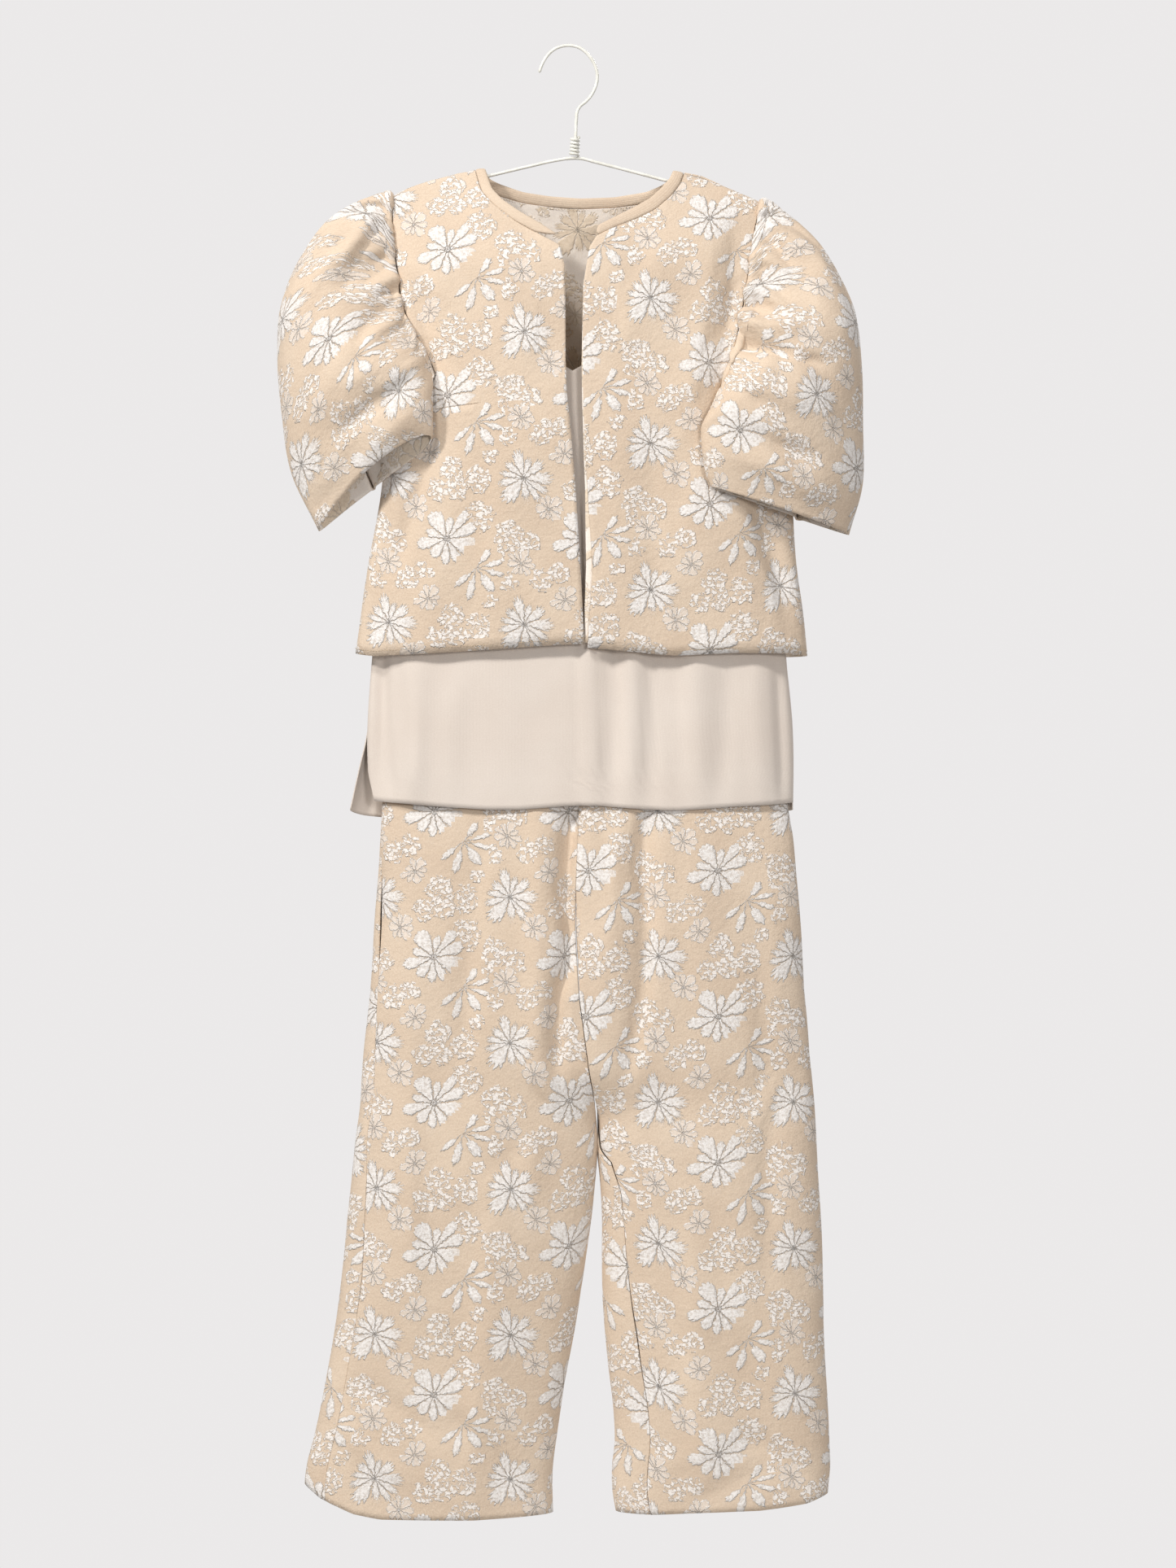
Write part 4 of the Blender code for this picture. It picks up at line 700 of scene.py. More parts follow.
def grid_normals(middle):
    """Normals of a grid that closes on itself along its first index."""
    round_way = np.roll(middle, -1, axis=0) - np.roll(middle, 1, axis=0)
    return unit(np.cross(round_way, np.gradient(middle, axis=1)))


def outward_from(grid, column):
    """Directions along the cloth, away from a panel at its first or last column."""
    step = grid[column] - grid[1 if column == 0 else -2]
    along = np.gradient(grid[column], axis=0)
    slip = np.sum(step * along, axis=1) / np.sum(along**2, axis=1)
    return unit(step - along * slip[:, None])


# Woven pattern: a chart of one repeat, offsets in millimetres from the first flower
REPEAT = (138.0, 147.0)
MOTIFS = table(
    "x z petals radius look turn",
    (0, 0, 11, 30, 1, 0.03), (60, -61, 10, 31, 0, 0.11), (90, -91, 9, 31, 2, 0.0),
    (-3, 61, 9, 16, 3, 0.20), (25, -31, 8, 15, 4, 0.07), (41, 25, 8, 15, 3, 0.15), (-46, -2, 0, 10, 5, 0),
    (-45, -38, 0, 11, 5, 0), (-14, -58, 0, 11, 5, 0), (4, -66, 0, 9, 5, 0), (-25, -77, 0, 8, 5, 0),
    (18, 45, 0, 9, 5, 0), (36, 52, 0, 8, 5, 0), (64, 8, 0, 10, 5, 0), (70, -10, 0, 9, 5, 0),
    (50, -13, 0, 8, 5, 0), (-17, 45, 0, 9, 5, 0), (-34, 22, 0, 6, 5, 0),
)
# The palm's bare side: its middle, in degrees, and how far it reaches to each side
PALM_GAP = (131, 66)
# Half widths of a petal and of a palm's leaf, from the motif's centre to the tip
PETAL_CURVE = (0, 0), (0.09, 0), (0.16, 0.90), (0.45, 0.96), (0.72, 0.97), (0.88, 0.74), (1.0, 0.0)
LEAF_CURVE = (0, 0), (0.12, 0.5), (0.25, 0.3), (0.5, 0.66), (0.72, 0.56), (1.0, 0.0)

# Where one big flower lies on each panel, as x and z in the picture's plane
ANCHORS = {
    "jacket_front_left": (83, -269), "jacket_front_right": (-43, -303), "jacket_back": (10, -330),
    "front_facing_left": (83, -269), "neck_binding": (20, -180), "waistband": (0, -800),
    "sleeve_left": (239, -350), "sleeve_right": (-264, -388),
    "trouser_front_left": (91, -1069), "trouser_back_left": (60, -1040),
    "trouser_front_right": (-57, -1156), "trouser_back_right": (-90, -1120),
}


# Colours as they look, red, green, blue from 0 to 255
GROUND = (206, 184, 161), (223, 204, 182)
FLOWER = (210, 201, 192), (241, 237, 233)
SMALL = (232, 221, 210), (246, 241, 236)
# Tone of the motifs' lines: woven outlines and veins, and painted shade at the rims of the raised big motifs
OUTLINE_AND_RIM_SHADE_TONE, OUTLINE_AND_RIM_SHADE_STRENGTH = (176, 157, 132), 0.22
# The cloth's back face: both tones made lighter than its own colour, as painted light on the shaded insides
REVERSE_PAINTED_LIGHTER = (238, 226, 213), (246, 237, 227)
REVERSE_FLOWER_PAINTED_LIGHTER = (219, 200, 176), (230, 213, 191)
KNIT_TONES = (216, 203, 191), (224, 213, 202)
WIRE = (226, 224, 214), (240, 238, 230)
TAPE_TONES = (226, 212, 192), (236, 224, 206)
THREAD_TONES = (196, 174, 144), (210, 190, 162)
FLOOR_TONES = (196, 195, 193), (201, 200, 199)
WALL_TONE = (238, 236, 236)

# Lights: name, place and size in metres, power in watts, colour. All point at the middle of the garments.
LIGHT_TARGET = (0.0, 0.0, -0.75)
LIGHTS = (
    ("key", (-3.8, -3.2, 2.6), 0.7, 206, (1.0, 0.985, 0.965)),
    ("high_light", (-1.0, -2.6, 2.4), 0.7, 60, (1.0, 0.99, 0.975)),
    ("fill", (1.6, -4.2, 0.0), 1.0, 56, (0.99, 0.99, 1.0)),
    ("back_light", (1.6, 3.4, 1.4), 1.6, 70, (1.0, 0.99, 0.97)),
)

# Names of the shader's sockets that take one fixed number
SOCKETS = {
    "sheen": "Sheen Weight", "sheen_width": "Sheen Roughness",
    "shine": "Specular IOR Level", "coat": "Coat Weight",
}


def shade(color):
    """A colour from 0 to 255 as the shader's linear red, green, blue and alpha."""
    share = np.array(color) / 255
    linear = np.where(share > 0.04045, ((share + 0.055) / 1.055) ** 2.4, share / 12.92)
    return tuple(float(value) for value in linear) + (1.0,)


def finer(rows, count):
    """The rows of a grid with each step cut into count."""
    rows = np.array(rows, float)
    steps = [np.linspace(a, b, count, endpoint=False) for a, b in zip(rows[:-1], rows[1:])]
    return np.concatenate(steps + [rows[-1:]])


def with_edges(columns, near=(0.004, 0.010, 0.018, 0.028)):
    """Columns with extra ones close to both seams."""
    extra = np.array(near)
    return np.unique(np.round(np.concatenate([columns, extra, 1 - extra]), 7))


class Field:
    """An output in a node tree, so that sums of such outputs read as plain arithmetic."""

    def __init__(self, tree, socket):
        self.tree = tree
        self.socket = socket

    def __add__(self, other):
        return calc("ADD", self, other)

    def __sub__(self, other):
        return calc("SUBTRACT", self, other)

    def __rsub__(self, other):
        return calc("SUBTRACT", other, self)

    def __mul__(self, other):
        return calc("MULTIPLY", self, other)

    def __truediv__(self, other):
        return calc("DIVIDE", self, other)


def put(socket, value):
    """Link a socket to a field, or give it a fixed value."""
    if isinstance(value, Field):
        value.tree.links.new(value.socket, socket)
    else:
        socket.default_value = value


def node(tree, kind, inputs, **settings):
    made = tree.nodes.new(kind)
    for name, value in settings.items():
        setattr(made, name, value)
    for key, value in inputs.items():
        put(made.inputs[key], value)
    return made


def field(tree, kind, inputs, output=0, **settings):
    return Field(tree, node(tree, kind, inputs, **settings).outputs[output])


def calc(operation, *values, clamp=False):
    tree = next(value.tree for value in values if isinstance(value, Field))
    return field(tree, "ShaderNodeMath", dict(enumerate(values)), operation=operation, use_clamp=clamp)


def vector_calc(vector, operation, other):
    """Arithmetic on a vector, with a number for SCALE and else a second vector."""
    inputs = {0: vector, "Scale" if operation == "SCALE" else 1: other}
    return field(vector.tree, "ShaderNodeVectorMath", inputs, operation=operation)


def ramp(value, low, high, to_low=0.0, to_high=1.0):
    """A smooth step of value from low to high."""
    inputs = {0: value, 1: low, 2: high, 3: to_low, 4: to_high}
    return field(value.tree, "ShaderNodeMapRange", inputs, interpolation_type="SMOOTHSTEP")


def mix(share, a, b):
    """A mix of two colours."""
    return field(share.tree, "ShaderNodeMix", {0: share, 6: a, 7: b}, 2, data_type="RGBA")


def two_tones(share, tones):
    return mix(share, shade(tones[0]), shade(tones[1]))


def noise(vector, scale, detail, roughness, output=0):
    inputs = {"Vector": vector, "Scale": scale, "Detail": detail, "Roughness": roughness}
    return field(vector.tree, "ShaderNodeTexNoise", inputs, output)


def layer_of(tree, name):
    return field(tree, "ShaderNodeUVMap", {}, uv_map=name)


def parts_of(vector):
    made = node(vector.tree, "ShaderNodeSeparateXYZ", {0: vector})
    return [Field(vector.tree, output) for output in made.outputs]


def curve_of(value, points):
    made = node(value.tree, "ShaderNodeFloatCurve", {1: value})
    curve = made.mapping.curves[0]
    curve.points[0].location = points[0]
    curve.points[1].location = points[-1]
    for x, y in points[1:-1]:
        curve.points.new(x, y)
    made.mapping.update()
    return Field(value.tree, made.outputs[0])


def new_material(name):
    material = bpy.data.materials.new(name)
    material.use_nodes = True
    tree = material.node_tree
    return material, tree, tree.nodes["Principled BSDF"]


def dress(shader, color, roughness, height, relief, strength=1.0, **fixed):
    """The shader's colour, roughness and bump from fields, and its other sockets from fixed numbers."""
    put(shader.inputs["Base Color"], color)
    put(shader.inputs["Roughness"], roughness)
    bump = {"Strength": strength, "Distance": relief, "Height": height}
    put(shader.inputs["Normal"], field(height.tree, "ShaderNodeBump", bump))
    for name, value in fixed.items():
        shader.inputs[SOCKETS[name]].default_value = value


def floral(tree):
    """Masks of the woven motifs: big flowers with palms, small outlined flowers, sprigs, their height, and
    their lines: woven outlines and veins, with painted shade at the big motifs' rims.
    """
    cloth = layer_of(tree, "cloth")
    shift = vector_calc(vector_calc(noise(cloth, 300, 2, 0.6, 1), "SUBTRACT", (0.5, 0.5, 0.5)), "SCALE", 5.0)
    x, y, _ = parts_of(vector_calc(vector_calc(layer_of(tree, "motif"), "SCALE", 1 / MM), "ADD", shift))
    petals, radius, _ = parts_of(layer_of(tree, "size"))
    look, turn, _ = parts_of(layer_of(tree, "look"))
    is_saw, is_palm = calc("COMPARE", look, 1.0, 0.4), calc("COMPARE", look, 2.0, 0.4)
    is_small, is_sprig = calc("COMPARE", look, 3.5, 0.9), calc("GREATER_THAN", look, 4.6)

    # round the motif, petal by petal
    angle = calc("ARCTAN2", y, x) * (0.5 / np.pi)
    uneven = calc("SINE", angle * (4 * np.pi) + turn * 40.0) + calc("SINE", angle * (6 * np.pi) + turn * 90.0)
    petal = (uneven * 0.015 + angle + turn) * petals
    number = calc("FLOORED_MODULO", calc("FLOOR", petal), petals)
    chance = field(tree, "ShaderNodeTexWhiteNoise", {"W": number + turn}, noise_dimensions="1D")
    aside = calc("ABSOLUTE", calc("FRACT", petal) - 0.5) * 2.0

    # out from its centre, to the uneven tips
    reach = calc("SQRT", x * x + y * y)
    share = reach / (radius * (chance * 0.46 + 0.72))
    share = share + (is_saw * 0.28 + 0.12) * calc("PINGPONG", aside * 2.9, 0.5)
    width = {0: is_palm, 2: curve_of(share, PETAL_CURVE), 3: curve_of(share, LEAF_CURVE)}
    width = field(tree, "ShaderNodeMix", width, data_type="FLOAT")
    gap = calc("FRACT", angle + (0.5 - PALM_GAP[0] / 360))
    gap = calc("LESS_THAN", calc("ABSOLUTE", gap - 0.5), PALM_GAP[1] / 360)
    inside = width - aside - gap * is_palm * 2.0 - is_sprig * 3.0 - calc("GREATER_THAN", share, 0.999)
    heart = ramp(share, 0.15, 0.10) - ramp(share, 0.06, 0.03)
    heart = calc("MULTIPLY", heart, 1.0 - (is_sprig + is_palm), clamp=True)
    hollow = ramp(inside, 0.28, 0.46) * (is_small * 0.6)
    fill = ramp(inside, 0.0, 0.12) * (1.0 - hollow)

    # sprigs of small filled cells and curls inside a ragged circle
    bounds = radius * (noise(cloth, 120, 1, 0.5) * 1.5 + 0.68)
    near = ramp(reach / bounds, 1.05, 0.9) * is_sprig
    curled = vector_calc(vector_calc(noise(cloth, 210, 1, 0.5, 1), "SCALE", 0.008), "ADD", cloth)
    cells = {"Vector": vector_calc(curled, "MULTIPLY", (1.0, 1.45, 1.0)), "Scale": 186.0, "Randomness": 1.0}
    cells = node(tree, "ShaderNodeTexVoronoi", cells, voronoi_dimensions="2D")
    apart, tint = (Field(tree, cells.outputs[name]) for name in ("Distance", "Color"))
    leaves = ramp(apart, 0.47, 0.38) * ramp(parts_of(tint)[0], 0.18, 0.24)
    curl = ramp(calc("ABSOLUTE", noise(cloth, 190, 1, 0.5) - 0.5), 0.055, 0.02)
    dots = calc("MAXIMUM", leaves, curl * 0.8) * near

    big = calc("SUBTRACT", 1.0, is_small + is_sprig, clamp=True)
    mask = calc("MAXIMUM", calc("MAXIMUM", fill, heart), dots, clamp=True)
    raised = ramp(inside, -0.02, 0.32) * (big * 0.35 + 0.65) - hollow * 0.35
    raised = calc("MAXIMUM", calc("MAXIMUM", raised, dots * 0.8), heart * 0.5)
    # A darker band at each big motif's rim: partly its woven outline, partly painted shade where the raised
    # motif drops to the ground
    edge = ramp(inside, 0.16, 0.02) * ramp(inside, -0.10, 0.0)
    vein = ramp(aside, 0.08, 0.0) * (big * ramp(share, 0.6, 0.3)) * 0.4
    line = calc("MAXIMUM", edge * (big * 0.8), vein)
    return cloth, mask, big, raised, line


def jacquard_material(name, ground, flower, small, relief):
    """Raised woven motifs on crepe: ground, flower and small each have a darker and a lighter tone."""
    material, tree, shader = new_material(name)
    cloth, mask, big, raised, line = floral(tree)
    crepe, drift = noise(cloth, 620, 2, 0.6), noise(cloth, 14, 2, 0.5)
    mottle, pucker = noise(cloth, 330, 3, 0.75), noise(cloth, 150, 2, 0.6)
    base = two_tones(ramp(crepe * 0.6 + drift * 0.4, 0.3, 0.7), ground)
    spots = ramp(mottle, 0.34, 0.60)
    color = mix(mask * 0.95, base, mix(big, two_tones(spots, small), two_tones(spots, flower)))
    # The lines laid over the colour: woven outlines and veins, with painted shade at the big motifs' rims
    color = mix(line * OUTLINE_AND_RIM_SHADE_STRENGTH, color, shade(OUTLINE_AND_RIM_SHADE_TONE))
    height = raised + pucker * 0.8 + crepe * 0.16 + mottle * mask * 0.6
    rough = ramp(mottle, 0.2, 0.8, 0.72, 0.9)
    dress(shader, color, rough, height, relief, sheen=0.1, sheen_width=0.5, shine=0.25)
    return material


def plain_cloth(name, tones, wale, relief, sheen):
    """Plain cloth with fine ribs both ways, a rib's width being wale, in the cloth's own metres."""
    material, tree, shader = new_material(name)
    cloth = layer_of(tree, "cloth")
    x, y, _ = parts_of(cloth)
    fuzz, drift = noise(cloth, 700, 2, 0.6), noise(cloth, 11, 3, 0.5)
    ribs = calc("SINE", x * (2 * np.pi / wale)) * 0.3 + calc("SINE", y * (2 * np.pi / (wale * 0.8))) * 0.2
    color = two_tones(ramp(fuzz * 0.5 + drift * 0.5, 0.3, 0.7), tones)
    rough = ramp(fuzz, 0.2, 0.8, 0.78, 0.92)
    dress(shader, color, rough, ribs + fuzz * 0.8, relief, 0.5, sheen=sheen, sheen_width=0.45, shine=0.25)
    return material


def wire_material():
    """Creamy plastic coat with faint streaks and small rubbed spots."""
    material, tree, shader = new_material("coated_wire")
    place = field(tree, "ShaderNodeTexCoord", {}, "Object")
    streak, speck = noise(place, 90, 3, 0.6), noise(place, 900, 1, 0.5)
    color = two_tones(ramp(streak, 0.35, 0.65), WIRE)
    dress(shader, color, ramp(streak, 0.3, 0.7, 0.3, 0.46), speck, 0.0003, 0.25, coat=0.25)
    return material


def floor_material():
    material, tree, shader = new_material("floor")
    tone = noise(field(tree, "ShaderNodeTexCoord", {}, "Object"), 3, 2, 0.5)
    put(shader.inputs["Base Color"], two_tones(tone, FLOOR_TONES))
    shader.inputs["Roughness"].default_value = 0.9
    return material


def face_outwards(piece):
    shape = bmesh.new()
    shape.from_mesh(piece.data)
    bmesh.ops.recalc_face_normals(shape, faces=shape.faces)
    shape.to_mesh(piece.data)
    shape.free()


def add_piece(name, points, quads, materials, slots=None, layers=None, nodes=()):
    """A mesh piece that rides on the body and stands for its CAD nodes. layers has values per face corner."""
    mesh = bpy.data.meshes.new(name)
    mesh.from_pydata((points * MM).tolist(), [], quads.tolist() if isinstance(quads, np.ndarray) else quads)
    for material in materials:
        mesh.materials.append(material)
    for layer, values in (layers or {}).items():
        mesh.uv_layers.new(name=layer).data.foreach_set("uv", np.asarray(values, np.float32).ravel())
    mesh.polygons.foreach_set("use_smooth", np.ones(len(mesh.polygons), bool))
    if slots is not None:
        mesh.polygons.foreach_set("material_index", np.asarray(slots, np.int32))
    mesh.update()
    piece = bpy.data.objects.new(name, mesh)
    bpy.context.scene.collection.objects.link(piece)
    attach(piece, "root")
    if nodes:
        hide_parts(*nodes)
    return piece


def from_nearest(offset):
    """An offset from a motif as the offset from its nearest copy in the repeats."""
    half = np.array(REPEAT) / 2
    return (offset + half) % REPEAT - half


def motif_layers(cloth):
    """For each quad of cloth places (count, 4, 2) in mm: its offset from its motif, and that motif's form."""
    centre = cloth.mean(axis=1)
    best = np.full(len(centre), 1e9)
    pick = np.zeros(len(centre), int)
    for k, (x, z, radius) in enumerate(zip(MOTIFS["x"], MOTIFS["z"], MOTIFS["radius"])):
        apart = np.hypot(*from_nearest(centre - (x, z)).T) - radius
        closer = apart < best
        best[closer] = apart[closer]
        pick[closer] = k
    motif = np.stack([MOTIFS["x"][pick], MOTIFS["z"][pick]], axis=-1)
    offset = cloth - centre[:, None] + from_nearest(centre - motif)[:, None]
    size = np.stack([np.maximum(MOTIFS["petals"][pick], 1), MOTIFS["radius"][pick]], axis=-1)
    look = np.stack([MOTIFS["look"][pick], MOTIFS["turn"][pick]], axis=-1)
    four = np.ones((1, 4, 1))
    return {"motif": offset * MM, "size": size[:, None] * four, "look": look[:, None] * four}


def cloth_places(middle):
    """Where each grid point lies on the flat cloth, in mm: across and up."""
    across_step = np.diff(middle, axis=0)
    down_step = np.diff(middle, axis=1)
    way = np.sign(middle[-1, :, 0] - middle[0, :, 0])
    wide = way * np.hypot(across_step[..., 0], across_step[..., 1])
    deep = np.hypot(down_step[..., 1], down_step[..., 2])
    u = np.concatenate([np.zeros((1, middle.shape[1])), np.cumsum(wide, axis=0)])
    half = middle.shape[0] // 2
    u = u - u[half] + middle[half, :, 0]
    v = middle[:, :1, 2] - np.concatenate([np.zeros((middle.shape[0], 1)), np.cumsum(deep, axis=1)], axis=1)
    return np.stack([u, v], axis=-1)


def grid_quads(columns, rows, closed):
    i, j = np.meshgrid(np.arange(columns if closed else columns - 1), np.arange(rows - 1), indexing="ij")
    i, j = i.ravel(), j.ravel()
    k = (i + 1) % columns
    return np.stack([i * rows + j, k * rows + j, k * rows + j + 1, i * rows + j + 1], axis=-1)


def grid_area(middle, quads):
    flat = middle.reshape(-1, 3)
    a, b, c, d = (flat[quads[:, k]] for k in range(4))
    return float(np.linalg.norm(np.cross(c - a, d - b), axis=-1).sum()) / 2


def add_sheet(name, middle, normals, thickness, materials, places, turn=0.0, slot="jacquard"):
    """A thin shell of cloth, outer face first, rims closed. turn is the cloth's width round a closed tube."""
    columns, rows = middle.shape[:2]
    closed = turn != 0
    centre = middle.mean(axis=0, keepdims=True) if closed else middle * (1, 0, 1)
    if np.sum(normals * (middle - centre)) < 0:
        normals = -normals
    outer, inner = middle + normals * thickness / 2, middle - normals * thickness / 2
    points = np.concatenate([outer.reshape(-1, 3), inner.reshape(-1, 3)])
    count = columns * rows
    quads = grid_quads(columns, rows, closed)
    a = np.arange(columns if closed else columns - 1)
    b = (a + 1) % columns
    rims = []
    for end in (0, rows - 1):
        near, far = a * rows + end, b * rows + end
        rims.append(np.stack([near, far, count + far, count + near], axis=-1))
    if not closed:
        for edge in (0, columns - 1):
            a = edge * rows + np.arange(rows - 1)
            rims.append(np.stack([a, a + 1, count + a + 1, count + a], axis=-1))
    rim = np.concatenate(rims)
    flat = places.reshape(-1, 2) - np.array(ANCHORS.get(name, (0, 0)), float)
    corner = flat[quads]
    if closed:
        corner[quads[:, 1] < rows, 1:3, 0] += turn
    cloth = np.concatenate([corner, corner[:, ::-1], flat[rim % count]])
    layers = {"cloth": cloth * MM}
    if slot == "jacquard":
        layers |= motif_layers(cloth)
    slots = np.concatenate([np.zeros(len(quads)), np.ones(len(quads)), np.zeros(len(rim))])
    all_quads = np.concatenate([quads, quads[:, ::-1] + count, rim])
    piece = add_piece(name + "_cloth", points, all_quads, materials, slots, layers, (name,))
    face_outwards(piece)
    area = grid_area(middle, quads)
    wide = abs(turn) if closed else float(np.ptp(places[..., 0]))
    long = max(float(np.ptp(places[..., 1])), 1.001 * area / wide)
    wide * MM
    long * MM
    return piece


def seam_dip(middle, normals, first, last, depth=0.7, reach=3.5):
    """The cloth pulled in a little along its first and last column, where the seam holds it."""
    steps = np.linalg.norm(np.diff(middle, axis=0), axis=-1)
    along = np.concatenate([np.zeros((1, middle.shape[1])), np.cumsum(steps, axis=0)])
    pull = first * np.exp(-((along / reach) ** 2)) + last * np.exp(-(((along[-1] - along) / reach) ** 2))
    inward = np.where(np.sum(normals[..., 1] * middle[..., 1]) > 0, -1.0, 1.0)
    return middle + normals * (inward * depth * pull)[..., None]


def ripple(middle, normals, height, seed):
    """Slow uneven waves over the cloth, the same on every run."""
    x, z = middle[..., 0], middle[..., 2]
    waves = np.random.default_rng(seed).uniform(-1, 1, (7, 3))
    total = np.zeros_like(x)
    for across_wave, down_wave, start in waves:
        total += np.sin(x * (0.05 + 0.05 * across_wave) + z * 0.045 * down_wave + start * np.pi)
    return middle + normals * (height * total / 3)[..., None]


def jacket_pieces(cloth, inner):
    left = patch(
        JACKET_SECTIONS, FRONT_LEFT_INNER, FRONT_LEFT_OUTER,
        table("x z", (118, -128.6), (134, -132), (154, -140), (175, -150), (195, -159)), FRONT_LEFT_HEM,
        lambda angle, z: jacket_point(-1, angle, z, JACKET_FRONT_FOLDS),
    )
    right = patch(
        JACKET_SECTIONS, FRONT_RIGHT_INNER, FRONT_RIGHT_OUTER,
        table("x z", (-94, -125.1), (-112, -128), (-137, -136), (-162, -145), (-178, -152)),
        turned(FRONT_RIGHT_HEM),
        lambda angle, z: jacket_point(-1, angle, z, JACKET_FRONT_FOLDS),
    )
    back = patch(
        JACKET_SECTIONS, BACK_RIGHT_EDGE, BACK_LEFT_EDGE, BACK_TOP, BACK_HEM,
        lambda angle, z: jacket_point(1, angle, z, JACKET_BACK_FOLDS),
    )
    seam = HALF_SEAM
    columns = finer(corner_shares(BACK_TOP), FINER_BACK)
    grids = {
        "jacket_front_left": cloth_grid(left, even(77), finer(LEFT_ROWS, FINER_FRONT), (0, seam, seam, 0)),
        "jacket_front_right": cloth_grid(right, even(77), finer(RIGHT_ROWS, FINER_FRONT), (0, seam, seam, 0)),
        "jacket_back": cloth_grid(back, columns, finer(BACK_ALL_ROWS, FINER_BACK), (seam, seam, seam, 0)),
    }
    for name, (middle, normals) in grids.items():
        shaped = seam_dip(ripple(middle, normals, 0.9, 5), normals, float(name == "jacket_back"), 1.0)
        add_sheet(name, shaped, normals, JACQUARD, (cloth, inner), cloth_places(middle))
    return grids


def gathers(rows, degrees, v):
    """Height of a table's gathers at an angle and a share of the way down the sleeve."""
    rise = np.zeros(np.broadcast(degrees, v).shape)
    for k, reach in enumerate(rows["reach"]):
        drift = rows["angle"][k] + GATHER_DRIFT * np.sin(3 * v + k)
        off = (degrees - drift + 180) % 360 - 180
        fade = smooth((v + 0.012) / 0.05) * smooth((reach - v) / reach * 1.3)
        rise += rows["height"][k] * np.exp(-((off / rows["width"][k]) ** 2)) * fade
    return rise


def sleeve_piece(name, rings, loop, angles, away, lift, cloth, inner):
    start = loop + away * SLEEVE_START
    middle = []
    for v in SLEEVE_RINGS:
        weight = 1 - (1 - min(v / 0.3, 1)) ** 2.0
        points = (1 - weight) * start + weight * sleeve_ring(rings, v, angles)
        if 0 < v < 0.03:
            under = smooth(1 - np.abs(angles / np.pi - 1.13) / 0.25)
            points = start + lift * (2.6 + 1.6 * under)[:, None]
        elif v > 0:
            points = clear_of_jacket(points, angles, SLEEVE_ROOM)
        middle.append(points)
    steps = np.concatenate([[0, 0.007, 0.014], np.linspace(0.02, 1, 74)])
    middle = np.moveaxis(curve_through(np.array(SLEEVE_RINGS), np.stack(middle), steps), 0, 1)
    normals = grid_normals(middle)
    ring_centre = middle.mean(axis=0, keepdims=True)
    if np.sum(normals * (middle - ring_centre)) < 0:
        normals = -normals
    degrees = np.degrees(angles)[:, None]
    v = steps[None, :]
    rise = gathers(GATHERS, degrees, v) + gathers(FINE_GATHERS, degrees, v)
    front, back = (smooth(sign * np.sin(angles) / 0.3)[:, None] for sign in (1, -1))
    x, z = middle[..., 0], middle[..., 2]
    draped = front * folds(SLEEVE_FRONT_FOLDS, x, z) + back * folds(SLEEVE_BACK_FOLDS, x, z)
    draped = draped * smooth((v + 0.02) / 0.1)
    middle = middle + normals * (rise - 1.0 * smooth(v / 0.1) + draped)[..., None]
    side = np.sign(loop[0, 0])
    length = np.linalg.norm(np.diff(middle, axis=1), axis=-1)[:, ::-1].cumsum(axis=1)[:, ::-1]
    length = np.concatenate([length, np.zeros((len(angles), 1))], axis=1)
    widest = middle[:, len(steps) * 3 // 5]
    arc = np.linalg.norm(np.roll(widest, -1, axis=0) - widest, axis=-1)
    share = (np.cumsum(arc) - arc) / arc.sum()
    front_share = np.interp(np.pi / 2, angles, share)
    u = ring_centre[0, -1, 0] - side * (share - front_share) * SLEEVE_WIDTH
    v = ring_centre[0, -1, 2] + length
    places = np.stack([np.broadcast_to(u[:, None], v.shape), v], axis=-1)
    both, width = (cloth, inner), -side * SLEEVE_WIDTH
    add_sheet(name, middle, grid_normals(middle), JACQUARD, both, places, turn=width)


def seam_directions(front, back, place):
    """Directions along the armhole, from pairs of seam points and directions in front and at the back."""
    loop, _ = armhole(np.concatenate(front, axis=1), np.concatenate(back, axis=1), *place)
    return unit(loop[:, 3:])


def sleeve_pieces(grids, cloth, inner):
    back, back_normals = grids["jacket_back"]
    back_normals = back_normals * np.sign(back_normals[8, 8, 1])
    for name, rings, panel, back_column, notch, under, under_back in (
        ("sleeve_left", SLEEVE_LEFT_RINGS, "jacket_front_left", -1, 13, 17, 13),
        ("sleeve_right", SLEEVE_RIGHT_RINGS, "jacket_front_right", 0, 13, 17, 11),
    ):
        front, front_normals = grids[panel]
        front_normals = -front_normals * np.sign(front_normals[5, 8, 1])
        place = notch * FINER_FRONT, under * FINER_FRONT, under_back * FINER_BACK
        front_seam, back_seam = front[-1], back[back_column]
        loop, angles = armhole(front_seam, back_seam, *place)
        away = seam_directions(
            (front_seam, outward_from(front, -1)), (back_seam, outward_from(back, back_column)), place
        )
        away[0] = (np.sign(loop[0, 0]), 0, 0)
        away[FRONT_SEAM_STEPS + UNDER_SEAM_STEPS] = (0, 0, 1)
        lift = seam_directions(
            (front_seam, front_normals[-1]), (back_seam, back_normals[back_column]), place
        )
        sleeve_piece(name, rings, loop, angles, away, lift, cloth, inner)


def closed_rings(count, sides):
    """Quads of a sweep through rings, with its two ends left out."""
    quads = []
    for i in range(count - 1):
        for j in range(sides):
            k = (j + 1) % sides
            quads.append((i * sides + j, i * sides + k, (i + 1) * sides + k, (i + 1) * sides + j))
    return quads


